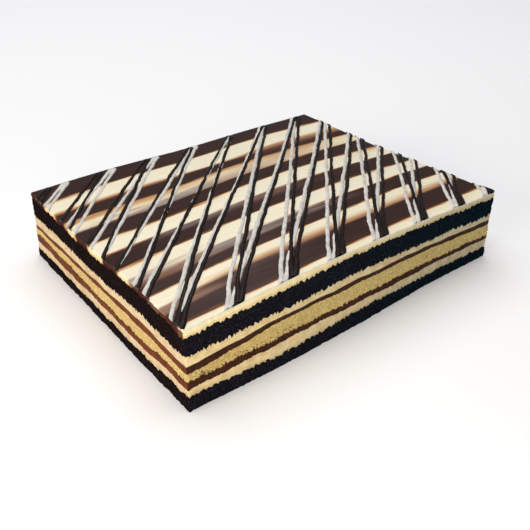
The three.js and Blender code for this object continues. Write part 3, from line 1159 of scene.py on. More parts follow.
DARK = (Tone(0.04, 0.03), Tone(0.95, 0.03))
LIGHTENING_DARK = (Tone(0.05, 0.03), Tone(0.8, 0.03), Tone(0.95, 0.12))
IVORY = (Tone(0.1, 0.97), Tone(0.96, 0.98))
CARAMEL_RIM = (Tone(0.1, 0.97), Tone(0.48, 0.96), Tone(0.7, 0.74, 0.15), Tone(0.95, 0.46, 0.3))
STRIPES = (
    # far dark
    Stripe((121, 122, 122, 123, 122), (DARK,) * 5),
    # first ivory
    Stripe(
        (93.5, 93.5, 94, 99, 95.5),
        ((Tone(0.15, 0.8), Tone(0.3, 0.97), Tone(0.9, 0.97)), *(IVORY,) * 4),
    ),
    # tan
    Stripe(
        (72.5, 72, 67.5, 75, 76.5),
        (
            (Tone(0.3, 0.7), Tone(0.8, 0.3)),
            (Tone(0.3, 0.7, 0.2), Tone(0.8, 0.3, 0.2)),
            (Tone(0.3, 0.68, 0.3), Tone(0.8, 0.28, 0.3)),
            (Tone(0.2, 0.6, 0.2), Tone(0.8, 0.24, 0.3)),
            (Tone(0.3, 0.68, 0.2), Tone(0.8, 0.28, 0.3)),
        ),
    ),
    # second dark
    Stripe(
        (65.5, 64, 64.5, 63, 61),
        (DARK, DARK, DARK, (Tone(0.1, 0.2), Tone(0.5, 0.12), Tone(0.9, 0.05)), DARK),
    ),
    # second ivory
    Stripe(
        (51, 47.5, 52.5, 54, 52.5),
        (
            (
                Tone(0.06, 0.5),
                Tone(0.3, 0.62),
                Tone(0.42, 0.95),
                Tone(0.75, 0.93),
                Tone(0.88, 0.6, 1),
                Tone(0.97, 0.4, 1),
            ),
            (Tone(0.05, 0.5), Tone(0.25, 0.7), Tone(0.45, 0.86), Tone(0.6, 0.62, 1), Tone(0.92, 0.5, 1)),
            (Tone(0.05, 0.6), Tone(0.35, 0.85), Tone(0.6, 0.74, 0.45), Tone(0.95, 0.62, 0.5)),
            (Tone(0.08, 0.66, 0.15), Tone(0.9, 0.78, 0.3)),
            (Tone(0.08, 0.85), Tone(0.95, 0.93)),
        ),
    ),
    # third dark
    Stripe((29, 25, 30, 31.5, 35), (DARK,) * 5),
    # third ivory
    Stripe(
        (8.5, 7, 12, 14, 14),
        (
            IVORY,
            (Tone(0.12, 0.4), Tone(0.22, 0.97), Tone(0.96, 0.98)),
            IVORY,
            IVORY,
            (Tone(0.1, 0.6), Tone(0.3, 0.8), Tone(0.5, 0.95), Tone(0.96, 0.98)),
        ),
    ),
    # fourth dark
    Stripe(
        (-14.5, -14, -10.5, -8.5, -8),
        (
            DARK,
            (Tone(0.05, 0.38, 1), Tone(0.22, 0.32, 1), Tone(0.35, 0.04), Tone(0.95, 0.03)),
            (Tone(0.05, 0.42, 0.7), Tone(0.3, 0.26, 0.6), Tone(0.55, 0.06), Tone(0.95, 0.03)),
            (Tone(0.05, 0.12, 0.3), Tone(0.3, 0.04), Tone(0.95, 0.03)),
            DARK,
        ),
    ),
    # fourth ivory
    Stripe(
        (-37.5, -36, -34, -32, -31),
        ((Tone(0.1, 0.97), Tone(0.62, 0.95), Tone(0.72, 0.62, 1), Tone(0.97, 0.55, 1)), *(IVORY,) * 4),
    ),
    # fifth dark
    Stripe(
        (-61.5, -55.5, -55, -53.5, -49.5),
        (
            (Tone(0.05, 0.38, 0.4), Tone(0.3, 0.24), Tone(0.45, 0.05), Tone(0.95, 0.03)),
            (Tone(0.05, 0.55, 1), Tone(0.4, 0.5, 1), Tone(0.52, 0.05), Tone(0.95, 0.03)),
            (Tone(0.05, 0.36, 0.9), Tone(0.38, 0.28, 0.9), Tone(0.5, 0.05), Tone(0.95, 0.03)),
            DARK,
            DARK,
        ),
    ),
    # fifth ivory
    Stripe(
        (-79, -76.5, -74.5, -70.5, -67.5),
        (IVORY, *(CARAMEL_RIM,) * 4),
    ),
    # sixth dark
    Stripe(
        (-93.5, -92, -92.5, -90, -86.5),
        (
            (
                Tone(0.05, 0.42, 0.6),
                Tone(0.33, 0.36, 0.5),
                Tone(0.45, 0.04),
                Tone(0.8, 0.03),
                Tone(0.95, 0.2),
            ),
            (Tone(0.05, 0.14, 0.4), Tone(0.22, 0.04), Tone(0.8, 0.03), Tone(0.95, 0.14)),
            *(LIGHTENING_DARK,) * 3,
        ),
    ),
    # front ivory
    Stripe((-117, -117.5, -115, -111.5, -108), ((Tone(0.12, 0.92), Tone(1, 1)),) * 5),
)


@dataclass(frozen=True)
class GlazeFinish(Finish):
    """Combed glaze: stripes across Y, drawn out into streaks along X."""

    stripes: tuple[Stripe, ...] = STRIPES
    split: int = 6
    station_step: float = 0.075
    wide_pitch: float = 0.006
    wide_wander: float = 0.024
    wide_height: float = 0.8
    fine_pitch: float = 0.0013
    fine_wander: float = 0.016
    fine_height: float = 0.5
    drift: float = 0.12
    plain_line: float = 0.18
    greyish_line: float = 0.5
    cut_dark: Colour = linear("4b2720")
    cut_tan: Colour = linear("a9693f")
    cut_light: Colour = linear("f6d6a2")
    cut_range: tuple[float, float] = (1.0, 0.75)
    cut_milk: tuple[float, float, float] = (0.04, 0.4, 0.9)
    drip_scale: float = 450.0
    drip_stretch: Place = (1.0, 1.0, 0.2)
    drip_range: tuple[float, float] = (0.2, 0.75)
    drip_share: float = 0.6
    smeared_from: tuple[float, float] = (-0.05, -0.064)
    smeared_share: float = 0.9
    shine_range: tuple[float, float] = (0.9, 1.0)
    foot_range: tuple[float, float] = (0.62, 0.2)
    foot_tint: Colour = (0.9, 0.83, 0.66, 1.0)

    def tones(self, graph: Graph, place: Socket, station: int) -> Socket:
        """One ramp through the tones of every stripe, in two halves because a ramp holds 32 stops.

        Args:
            graph: the material's graph.
            place: stripe coordinate, from 0 to 1.
            station: which of the five steps along X.

        Returns:
            A colour whose red is the white share and whose green is the greyish share.
        """
        count = len(self.stripes)
        halves = []
        for numbers in (range(0, self.split + 1), range(self.split, count)):
            stops = [
                ((number + tone.place) / count, (tone.milk, tone.lilac, 0.0, 1.0))
                for number in numbers
                for tone in self.stripes[number].tones[station]
            ]
            halves.append(graph.ramp(place, stops))
        beyond = graph.calc(Op.GREATER_THAN, place, (self.split + 0.5) / count)
        return graph.blend(beyond, *halves)

    def shares(self, graph: Graph, place: Socket, wide: Socket, fine: Socket) -> tuple[Socket, Socket]:
        """How much of the glaze is white and how greyish it looks, drawn out along the comb's way.

        Args:
            graph: the material's graph.
            place: position in the piece.
            wide: the wide streaks.
            fine: the fine streaks.

        Returns:
            The white share and the greyish share.
        """
        wander = graph.calc(
            Op.ADD, graph.swing(wide, self.wide_wander), graph.swing(fine, self.fine_wander)
        )
        across = graph.calc(Op.ADD, graph.split(graph.own_map("Stripes"))[1], wander)
        x = graph.calc(Op.ADD, graph.split(place)[0], graph.swing(wide, self.drift))
        stations = len(self.stripes[0].tones)
        tones = self.tones(graph, across, 0)
        for station in range(1, stations):
            end = (station - stations // 2) * self.station_step
            share = graph.span(x, end - self.station_step, end)
            tones = graph.blend(share, tones, self.tones(graph, across, station))
        white, greyish, _ = graph.channels(tones)
        strength = graph.calc(Op.ADD, graph.calc(Op.MULTIPLY, greyish, self.greyish_line), self.plain_line)
        return graph.calc(Op.ADD, white, graph.swing(fine, strength), clamp=True), greyish

    def cut_side(self, graph: Graph, place: Socket, up: Socket, milk: Socket, colour: Socket) -> Socket:
        """Colours the cut sides: with painted light and shade in front, and seen through the glaze on the
        others.

        Args:
            graph: the material's graph.
            place: position in the piece.
            up: 0 at the foot of the side, 1 on top.
            milk: the white share.
            colour: the colour of the top.

        Returns:
            The colour of the whole glaze.
        """
        x, y, _ = graph.split(place)
        smeared = graph.calc(
            Op.MULTIPLY, graph.span(y, *self.smeared_from), graph.calc(Op.LESS_THAN, x, 0.0)
        )
        drip = graph.noise(graph.stretch(place, self.drip_stretch), self.drip_scale)
        drip = graph.span(drip, *self.drip_range, self.drip_share, 1.0)
        cut = graph.span(up, *self.cut_range)
        cut = graph.calc(Op.MULTIPLY, cut, graph.calc(Op.MAXIMUM, smeared, drip))
        through = graph.ramp(milk, list(zip(self.cut_milk, (self.cut_dark, self.cut_tan, self.cut_light))))
        through = graph.blend(graph.calc(Op.MULTIPLY, smeared, self.smeared_share), through, self.cut_dark)
        front = self.front_share(graph, place)
        elsewhere = graph.calc(Op.MULTIPLY, cut, graph.calc(Op.SUBTRACT, 1.0, front))
        colour = graph.blend(elsewhere, colour, through)
        # painted light and shade on the front cut side
        colour = graph.blend(graph.calc(Op.MULTIPLY, cut, front), colour, self.paint_front_light(graph, place, colour))
        return graph.blend(graph.span(up, *self.foot_range), colour, self.foot_tint, Blend.TINT)

    def dress(self, graph: Graph, shader: bpy.types.Node, effects: Effects) -> None:
        """Joins the stripes and their streaks to the shader.

        Args:
            graph: the material's graph.
            shader: its shader.
            effects: the shared node groups.
        """
        place = graph.own_place()
        wide = graph.use(effects.streaks, Place=place, Pitch=self.wide_pitch).outputs[0]
        fine = graph.use(effects.streaks, Place=place, Pitch=self.fine_pitch).outputs[0]
        up = graph.split(graph.own_map("Stripes"))[0]
        milk, greyish = self.shares(graph, place, wide, fine)
        colour = graph.use(effects.chocolate, Milk=milk, Lilac=greyish).outputs[0]
        graph.feed(shader.inputs["Base Color"], self.cut_side(graph, place, up, milk, colour))
        shine = graph.calc(Op.MULTIPLY, graph.span(up, *self.shine_range), self.gloss)
        graph.feed(shader.inputs["Specular IOR Level"], shine)
        fine_height = graph.calc(Op.MULTIPLY, fine, self.fine_height)
        height = graph.calc(Op.ADD, fine_height, graph.calc(Op.MULTIPLY, wide, self.wide_height))
        self.raise_from(graph, shader, height)


@dataclass(frozen=True)
class DrizzleFinish(Finish):
    """Set chocolate drizzle: even colour with faint clouds, smooth and shiny."""

    body: Colour = (0.5, 0.5, 0.5, 1.0)
    shade: Colour = (0.4, 0.4, 0.4, 1.0)
    cloud_scale: float = 160.0
    shade_range: tuple[float, float] = (0.35, 0.7)
    dent_scale: float = 500.0

    def dress(self, graph: Graph, shader: bpy.types.Node, effects: Effects) -> None:
        """Joins the clouds to the shader.

        Args:
            graph: the material's graph.
            shader: its shader.
            effects: the shared node groups; not used here.
        """
        place = graph.own_place()
        clouds = graph.span(graph.noise(place, self.cloud_scale, detail=3.0), *self.shade_range)
        graph.feed(shader.inputs["Base Color"], graph.blend(clouds, self.body, self.shade))
        self.raise_from(graph, shader, graph.noise(place, self.dent_scale))


@dataclass(frozen=True)
class Kitchen:
    """Every finish on the cake, and the materials made from them."""

    effects: Effects = field(default_factory=Effects)
    chocolate: Finish = SpongeFinish(
        "chocolate sponge",
        roughness=0.95,
        gloss=0.0,
        # painted light and shade on the front side: a cool cast, losing red towards its right end
        front_painted_light=((1.02, 1.54, 1.98, 1.0), (0.37, 1.5, 2.05, 1.0)),
        bump=1.0,
        bump_depth=0.001,
        grain=linear("3f3334"),
        pit=linear("1a1213"),
        size=0.0013,
        openness=0.62,
    )
    vanilla: Finish = SpongeFinish(
        "vanilla sponge",
        roughness=0.9,
        gloss=0.0,
        glow_through=0.1,
        # painted light and shade on the front side: brighter at its left end, darker towards its right end
        front_painted_light=((1.1, 1.1, 1.02, 1.0), (0.88, 0.95, 0.96, 1.0)),
        bump=0.5,
        bump_depth=0.0005,
        grain=linear("e8d297"),
        pit=linear("c6a666"),
        spot=linear("a3692f"),
        smear=linear("5f331f"),
        size=0.0012,
        openness=0.36,
        spots=0.6,
        smear_reach=0.0013,
    )
    cream: Finish = FillingFinish(
        "cream",
        roughness=0.6,
        gloss=0.04,
        glow_through=0.15,
        # painted light and shade on the front side: brighter at its left end, darker towards its right end
        front_painted_light=((1.32, 1.34, 1.14, 1.0), (0.79, 0.88, 0.96, 1.0)),
        bump=0.4,
        bump_depth=0.0007,
        body=linear("e0c8a2"),
        shade=linear("cbac82"),
    )
    ganache: Finish = FillingFinish(
        "ganache",
        roughness=0.55,
        gloss=0.03,
        # painted shade on the front side: much darker than the lit left side, darker still towards its right
        # end
        front_painted_light=((0.4, 0.52, 0.85, 1.0), (0.27, 0.47, 0.8, 1.0)),
        bump=0.4,
        body=linear("773e20"),
        shade=linear("572d1b"),
    )
    glaze: Finish = GlazeFinish(
        "combed glaze",
        roughness=0.3,
        gloss=0.12,
        coat=0.02,
        # painted light and shade on the front of the glaze: brighter at its left end, darker towards its
        # right end
        front_painted_light=((1.26, 1.16, 0.92, 1.0), (0.66, 0.61, 0.49, 1.0)),
        bump=0.25,
        bump_depth=0.0004,
    )
    white: Finish = DrizzleFinish(
        "white drizzle",
        roughness=0.4,
        gloss=0.2,
        coat=0.05,
        bump=0.3,
        body=linear("d9d5ce"),
        shade=linear("c3beb7"),
    )
    dark: Finish = DrizzleFinish(
        "dark drizzle",
        roughness=0.25,
        gloss=0.1,
        coat=0.04,
        bump=0.25,
        body=linear("1b1615"),
        shade=linear("271b17"),
    )


# ---- Parts of the cake ----


@dataclass(frozen=True)
class Seam:
    """How ragged the line between two layers is, where it shows on the cut sides."""

    lump: float
    lump_size: float
    tooth: float
    tooth_size: float


# Every seam between two layers, from the lowest: height and size of its lumps, then of its teeth.
SEAMS = (
    Seam(0.8, 9, 1.4, 1.15),
    Seam(0.5, 9, 0.5, 1.4),
    Seam(0.5, 8, 1.1, 1.1),
    Seam(0.45, 7, 0.5, 1.5),
    Seam(0.35, 10, 0.25, 3),
    Seam(0.4, 8, 1.7, 1.05),
    Seam(0.6, 9, 1.5, 1.05),
)


@dataclass(frozen=True)
class Relief:
    """How far the cut surface of a layer stands in and out."""

    broad: float
    fine: float
    pits: float


CRUMB_RELIEF = Relief(broad=0.3, fine=0.35, pits=0.6)
CREAM_RELIEF = Relief(broad=0.3, fine=0.2, pits=0.0)
GANACHE_RELIEF = Relief(broad=0.3, fine=0.12, pits=0.0)


@dataclass(frozen=True)
class Cake:
    """What every layer needs: the form, the ring of places round it and the CAD box."""

    form: Form
    low: np.ndarray
    high: np.ndarray
    step: float = 0.62
    thinnest: float = 1.2
    seam_gap: float = 40.0
    tooth_length: float = 1.0
    lump_seed: int = 20
    tooth_seed: int = 40
    broad_size: float = 11.0
    broad_seed: int = 100
    fine_size: float = 2.4
    pit_size: float = 2.1
    pit_level: float = 0.55

    def ring(self) -> tuple[np.ndarray, np.ndarray, np.ndarray]:
        """Places round the cake, from its perimeter."""
        return Perimeter(self.form, self.step).places()

    def seams(self, u: np.ndarray, v: np.ndarray, turn: np.ndarray) -> np.ndarray:
        """Heights of the lines between the layers on the cut sides, from the foot up.

        Args:
            u: place along X.
            v: place along Y.
            turn: share of the way round.

        Returns:
            The levels with the waves, lumps and teeth of their seams, none closer to the one
            below than the thinnest layer, shape (number of layers, number of places).
        """
        heights = [np.zeros(len(u))]
        for count, seam in enumerate(SEAMS, start=1):
            apart = np.full(len(u), self.seam_gap * count)
            flat = np.stack([u * self.form.length / 2, v * self.form.width / 2, apart], axis=-1)
            tooth_size = (seam.tooth_size, seam.tooth_size, self.tooth_length)
            waves = (
                Wave(seam.lump, seam.lump_size, self.lump_seed + count),
                Wave(seam.tooth, tooth_size, self.tooth_seed + count),
            )
            level = self.form.level(count, u, v) + self.form.rippled(count, turn)
            heights.append(np.maximum(pile(waves, flat, level), heights[-1] + self.thinnest))
        return np.stack(heights)

    def cut_relief(self, points: np.ndarray, relief: Relief, seed: int, calm: np.ndarray) -> np.ndarray:
        """Crags of a cut side: broad waves that all layers share, fine ones and pits between crumbs.

        Args:
            points: shape (..., 3).
            relief: their heights.
            seed: picks one pattern.
            calm: how much of the fine waves and pits to leave out, from 0 to 1.

        Returns:
            Distance outwards, shape (...).
        """
        fine = Wave(relief.fine, self.fine_size, seed).at(points)
        if relief.pits:
            fine = fine + relief.pits * (self.pit_level - crumb_noise(points, self.pit_size, seed + 1))
        return Wave(relief.broad, self.broad_size, self.broad_seed).at(points) + fine * (1 - calm)

    def inside(self, points: np.ndarray) -> np.ndarray:
        """Keeps points inside the CAD box."""
        return np.clip(points, self.low, self.high)


@dataclass(frozen=True)
class Layer:
    """One layer of the cake, cut through on all four sides."""

    cake: Cake
    index: int
    node: str
    slot: Slot
    relief: Relief
    finish: Finish
    row: float = 0.62
    fewest_rows: int = 4
    inset: float = 5.0
    calm: float = 0.75
    calm_power: int = 5
    first_seed: int = 110
    seed_step: int = 10

    def build(self, effects: Effects) -> bpy.types.Object:
        """Builds rows of points round the layer from its lower seam to its upper one.

        The rows stand out by the relief, which calms down towards the seams but not at the foot of
        the cake. Inset rings and a middle point close the layer below and above. The map "Band"
        holds each point's distances to the lower and to the upper seam.

        Args:
            effects: the shared node groups.

        Returns:
            The finished piece.
        """
        form = self.cake.form
        u, v, turn = self.cake.ring()
        low, high = self.cake.seams(u, v, turn)[self.index : self.index + 2]
        rows = max(self.fewest_rows, int(np.max(high - low) / self.row))
        share = np.linspace(0, 1, rows + 1)[:, None]
        z = low + (high - low) * share
        calm = self.calm * np.abs(2 * share - 1) ** self.calm_power
        ledge = 0.0
        if self.index == 0:
            calm = np.where(share < 0.5, 0.0, calm)
            ledge = 1 - form.ledge_slope * share
        plain = form.outline(u, v, z, 0.0, ledge)
        seed = self.first_seed + self.seed_step * self.index
        out = self.cake.cut_relief(plain, self.relief, seed, calm)
        side = self.cake.inside(form.outline(u, v, z, out, ledge))
        under = form.outline(u, v, low, -self.inset)
        over = form.outline(u, v, high, -self.inset)
        middle = np.array([[0, 0, np.mean(low)], [0, 0, np.mean(high)]])
        points = np.concatenate([under, side.reshape(-1, 3), over, middle])
        count = len(u)
        piece = MeshMaker.make(self.node + "_look", points, *MeshMaker.closed(rows + 3, count))
        distances = np.zeros((len(points), 2))
        on_side = slice(count, -count - 2)
        distances[on_side, 0] = ((high - low) * share).ravel() * MM
        distances[on_side, 1] = ((high - low) * (1 - share)).ravel() * MM
        MeshMaker.map_points(piece, "Band", distances)
        piece.data.materials.append(self.finish.material(effects))
        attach(piece, "root")
        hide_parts(self.node)
        return piece


@dataclass(frozen=True)
class Glaze:
    """The glaze: an even coat with a drooping lower edge, a soft rim and a swelling top."""

    cake: Cake
    finish: Finish
    node: str = "glaze"
    rim: float = 1.0
    step: float = 0.75
    side_rows: int = 9
    rim_rows: int = 5
    top_rings: int = 50
    inset: float = 5.0
    bulge: float = 0.45
    bulge_turn: float = 0.8
    tuck: float = 0.2
    crags: tuple[Wave, ...] = (Wave(0.3, (2.6, 2.6, 9), 71), Wave(0.25, 9.0, 72))
    side_share: float = 0.85
    stripes: tuple[Stripe, ...] = STRIPES
    stripe_reach: float = 150.0
    last_edge: float = -123.0

    def stripe_place(self, points: np.ndarray) -> np.ndarray:
        """Stripe coordinate of each point: its place among the stripes' edges at its X.

        Args:
            points: shape (n, 3).

        Returns:
            Values from 0 at the far side to 1 at the front, shape (n,).
        """
        t = np.clip(points[:, 0] / self.stripe_reach, -1, 1)
        edges = [along(stripe.edge, t) for stripe in self.stripes] + [np.full(len(t), self.last_edge)]
        place = np.zeros(len(points))
        for far, near in zip(edges, edges[1:]):
            place += np.clip((far - points[:, 1]) / (far - near), 0, 1) / len(self.stripes)
        return place

    def build(self, effects: Effects) -> bpy.types.Object:
        """Builds rings up the side, over the rim and in to the middle.

        The side bulges like part of a sine wave, the rim is a quarter circle and the top follows
        the form's surface. The map "Stripes" holds how far up the side a point is, with 1 on top,
        and its stripe coordinate.

        Args:
            effects: the shared node groups.

        Returns:
            The finished piece.
        """
        form = self.cake.form
        u, v, turn = Perimeter(form, self.step).places()
        count = len(u)
        low = self.cake.seams(u, v, turn)[-1]
        rim_point = form.outline(u, v, form.level(len(form.layers), u, v), -self.rim)
        top = form.surface(rim_point[:, 0], rim_point[:, 1])
        share = np.linspace(0, 1, self.side_rows + 1)[:, None]
        z = low + (top - self.rim - low) * share
        plain = form.outline(u, v, z)
        bulge = self.bulge * np.sin(self.bulge_turn * math.pi * share) - self.tuck
        bulge = pile(self.crags, plain, bulge)
        side = form.outline(u, v, z, bulge)
        angle = np.linspace(0, math.pi / 2, self.rim_rows + 1)[1:, None]
        fade = np.cos(angle)
        rim_out = bulge[-1] * fade - self.rim * (1 - fade)
        rim = form.outline(u, v, top - self.rim + self.rim * np.sin(angle), rim_out)
        scale = np.linspace(1, 0, self.top_rings + 1)[1:-1, None]
        flat_x = rim[-1][:, 0] * scale
        flat_y = rim[-1][:, 1] * scale
        flat = np.stack([flat_x, flat_y, form.surface(flat_x, flat_y)], axis=-1)
        under = form.outline(u, v, low, -self.inset)
        summit = form.surface(np.zeros(1), np.zeros(1))[0]
        middle = np.array([[0, 0, np.mean(low)], [0, 0, summit]])
        rings = np.concatenate([under[None], side, rim, flat])
        total = len(rings)
        points = self.cake.inside(np.concatenate([rings.reshape(-1, 3), middle]))
        piece = MeshMaker.make(self.node + "_look", points, *MeshMaker.closed(total, count))
        up_side = np.ones((total, count))
        up_side[0] = 0
        up_side[1 : len(side) + 1] = self.side_share * share
        coordinates = np.stack([np.append(up_side.ravel(), [0, 1]), self.stripe_place(points)], axis=-1)
        MeshMaker.map_points(piece, "Stripes", coordinates)
        piece.data.materials.append(self.finish.material(effects))
        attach(piece, "root")
        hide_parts(self.node)
        return piece


@dataclass(frozen=True)
class Drizzle:
    """One long zigzag of drizzle, trimmed with the cake."""

    cake: Cake
    name: str
    finish: Finish
    front_turns: Stations
    back_turns: Stations
    front_reach: float
    back_reach: float
    front_gap: float
    back_gap: float
    width: float
    height: float
    turn_width: float
    pool_width: float
    pool_height: float
    seed: int
    left_bow: float
    right_bow: float
    bulge: float = 1.5
    pool_length: float = 22.0
    pool_lean: float = 2.2
    overrun: float = 3.0
    leg_steps: int = 12
    step: float = 1.1
    sides: int = 12
    sink: float = 0.35
    trim: float = 0.15
    rounding: int = 7
    fewest_steps: int = 6
    turn_from: float = 9.0
    turn_full: float = 1.0
    # Their seeds count on from the drizzle's own.
    sway_waves: tuple[Wave, ...] = (Wave(0.45, 14.0, 0), Wave(0.25, 4.5, 1))
    width_waves: tuple[Wave, ...] = (Wave(0.14, 9.0, 2), Wave(0.1, 3.5, 4))
    height_waves: tuple[Wave, ...] = (Wave(0.12, 12.0, 3),)

    def uneven(self, waves: tuple[Wave, ...], points: np.ndarray, level: float) -> np.ndarray:
        """Adds waves at points of shape (n, 3) to a level, with this drizzle's seed added to theirs."""
        own = tuple(replace(wave, seed=self.seed + wave.seed) for wave in waves)
        return pile(own, points, level)

    def leg(self, start: tuple[float, float], end: tuple[float, float], bow: float) -> np.ndarray:
        """One stroke between two turns, bent like half a wave.

        Args:
            start: where it starts, in plan.
            end: where it ends.
            bow: how far it bends towards +X halfway along.

        Returns:
            Points in plan, shape (n, 2).
        """
        share = np.linspace(0, 1, self.leg_steps + 1)[:, None]
        line = np.array(start) + (np.array(end) - np.array(start)) * share
        line[:, :1] += bow * np.sin(math.pi * share)
        return line

    def path(self) -> np.ndarray:
        """Walks the zigzag in even steps, with its narrow bends rounded off.

        Returns:
            Points in plan, shape (n, 2).
        """
        foot = self.front_reach - self.overrun
        legs = []
        for number, front in enumerate(self.front_turns):
            left = (self.back_turns[number] + self.back_gap / 2, self.back_reach)
            right = (self.back_turns[number + 1] - self.back_gap / 2, self.back_reach)
            legs.append(self.leg(left, (front - self.front_gap / 2, foot), self.left_bow))
            legs.append(self.leg((front + self.front_gap / 2, foot), right, self.right_bow))
            legs.append(np.array([[self.back_turns[number + 1], self.back_reach + self.bulge]]))
        line = np.concatenate(legs)
        run = np.concatenate([[0], np.cumsum(np.linalg.norm(np.diff(line, axis=0), axis=1))])
        s = np.arange(0, run[-1], self.step)
        walk = np.stack([np.interp(s, run, line[:, 0]), np.interp(s, run, line[:, 1])], axis=-1)
        window = np.hanning(self.rounding)
        kernel = window / window.sum()
        return np.stack([np.convolve(walk[:, a], kernel, mode="same") for a in (0, 1)], axis=-1)

    def tube(self, walk: np.ndarray, start: int) -> tuple[np.ndarray, np.ndarray, np.ndarray]:
        """Low half-round tube along one run of the path.

        Its section is half an ellipse over the glaze and a flatter one sunk into it. The path
        sways, and its width and height swell towards a turn at the back and a pool in front.

        Args:
            walk: points in plan, shape (n, 2).
            start: number of the tube's first point.

        Returns:
            Points, quads and triangles.
        """
        form = self.cake.form
        ahead = np.gradient(walk, axis=0)
        ahead /= np.linalg.norm(ahead, axis=1)[:, None]
        across = np.stack([-ahead[:, 1], ahead[:, 0]], axis=-1)
        flat = np.concatenate([walk, np.zeros((len(walk), 1))], axis=1)
        pool = 1 - smooth_step(walk[:, 1] - self.front_reach, 0, self.pool_length)
        middle = walk + across * self.uneven(self.sway_waves, flat, 0.0)[:, None]
        middle[:, 0] += self.pool_lean * pool
        turn = smooth_step(walk[:, 1], self.back_reach - self.turn_from, self.back_reach - self.turn_full)
        wide = self.width * self.uneven(self.width_waves, flat, 1.0)
        wide = wide + (self.turn_width - self.width) * turn + (self.pool_width - self.width) * pool
        tall = self.height * self.uneven(self.height_waves, flat, 1.0)
        tall = tall + (self.pool_height - self.height) * pool
        angle = np.arange(self.sides) / self.sides * TURN
        offset = np.cos(angle) * wide[:, None] / 2
        lift = np.where(np.sin(angle) > 0, np.sin(angle) * tall[:, None], np.sin(angle) * self.sink)
        x = np.append((middle[:, :1] + across[:, :1] * offset).ravel(), middle[[0, -1], 0])
        y = np.append((middle[:, 1:] + across[:, 1:] * offset).ravel(), middle[[0, -1], 1])
        lift = np.append(lift.ravel(), [0, 0])
        limit_x = form.length / 2 - self.trim
        limit_y = form.width / 2 - self.trim
        points = np.stack(
            [np.clip(x, -limit_x, limit_x), np.clip(y, -limit_y, limit_y), form.surface(x, y) + lift], axis=-1
        )
        return self.cake.inside(points), *MeshMaker.closed(len(walk), self.sides, start)

    def build(self, effects: Effects) -> bpy.types.Object:
        """Keeps the runs of the zigzag that lie on the cake and builds a tube along each.

        Args:
            effects: the shared node groups.

        Returns:
            The finished piece.
        """
        walk = self.path()
        form = self.cake.form
        beyond = np.abs(walk) - np.array([form.length, form.width]) / 2
        keep = beyond.max(axis=1) < self.overrun
        marks = np.flatnonzero(np.diff(np.concatenate([[False], keep, [False]]).astype(int)))
        parts, start = [], 0
        for first, end in zip(marks[::2], marks[1::2]):
            if end - first < self.fewest_steps:
                continue
            parts.append(self.tube(walk[first:end], start))
            start += len(parts[-1][0])
        points, quads, tris = (np.concatenate(group) for group in zip(*parts))
        piece = MeshMaker.make(self.name, points, quads, tris)
        piece.data.materials.append(self.finish.material(effects))
        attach(piece, "root")
        return piece


@dataclass(frozen=True)
class Crumbs:
    """Loose crumbs of dark sponge that the knife left on the fillings."""

    cake: Cake
    finish: Finish
    name: str
    seams: tuple[int, ...]
    count: int
    seed: int
    lift: float = 0.0
    spread: float = 0.9
    reach: tuple[float, float] = (0.0, 1.3)
    size: tuple[float, float] = (0.35, 0.95)
    sunk: float = 0.1
    unevenness: tuple[float, float] = (0.7, 1.25)
    around: int = 8
    levels: int = 4

    def build(self, effects: Effects) -> bpy.types.Object:
        """Scatters small rough balls along the seams, over a share of the way round.

        Args:
            effects: the shared node groups.

        Returns:
            The finished piece.
        """
        form = self.cake.form
        random = np.random.default_rng(self.seed)
        u, v, turn = self.cake.ring()
        heights = self.cake.seams(u, v, turn)[list(self.seams)]
        near = np.flatnonzero((turn >= self.reach[0]) & (turn <= self.reach[1]))
        spot = random.choice(near, self.count)
        seam = random.integers(0, len(self.seams), self.count)
        z = heights[seam, spot] + random.normal(self.lift, self.spread, self.count)
        centre = form.outline(u[spot], v[spot], z, -self.sunk)
        latitude = np.linspace(-math.pi / 2, math.pi / 2, self.levels + 2)[1:-1]
        longitude = np.arange(self.around) / self.around * TURN
        a, b = np.meshgrid(latitude, longitude, indexing="ij")
        ball = np.stack([np.cos(a) * np.cos(b), np.cos(a) * np.sin(b), np.sin(a)], axis=-1).reshape(-1, 3)
        ball = np.concatenate([ball, [[0, 0, -1], [0, 0, 1]]])
        radius = random.uniform(*self.size, self.count) / 2
        rough = random.uniform(*self.unevenness, (self.count, len(ball), 1))
        points = self.cake.inside((centre[:, None] + ball * rough * radius[:, None, None]).reshape(-1, 3))
        starts = np.arange(self.count)[:, None, None] * len(ball)
        one_quads, one_tris = MeshMaker.closed(self.levels, self.around)
        quads = (one_quads + starts).reshape(-1, 4)
        tris = (one_tris + starts).reshape(-1, 3)
        piece = MeshMaker.make(self.name, points, quads, tris)
        piece.data.materials.append(self.finish.material(effects))
        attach(piece, "root")
        return piece


# ---- Light and camera ----


@dataclass(frozen=True)
class Lamp:
    """One soft rectangular light."""

    name: str
    place: Place
    target: Place
    size: tuple[float, float]
    power: float
    colour: tuple[float, float, float]

    def build(self) -> None:
        """Adds the light, turned to its target."""
        data = bpy.data.lights.new(self.name, "AREA")
        data.shape = "RECTANGLE"
        data.size, data.size_y = self.size
        data.energy = self.power
        data.color = self.colour
        lamp = bpy.data.objects.new(self.name, data)
        lamp.location = self.place
        way = Vector(self.target) - Vector(self.place)
        lamp.rotation_euler = way.to_track_quat("-Z", "Y").to_euler()
        bpy.context.scene.collection.objects.link(lamp)


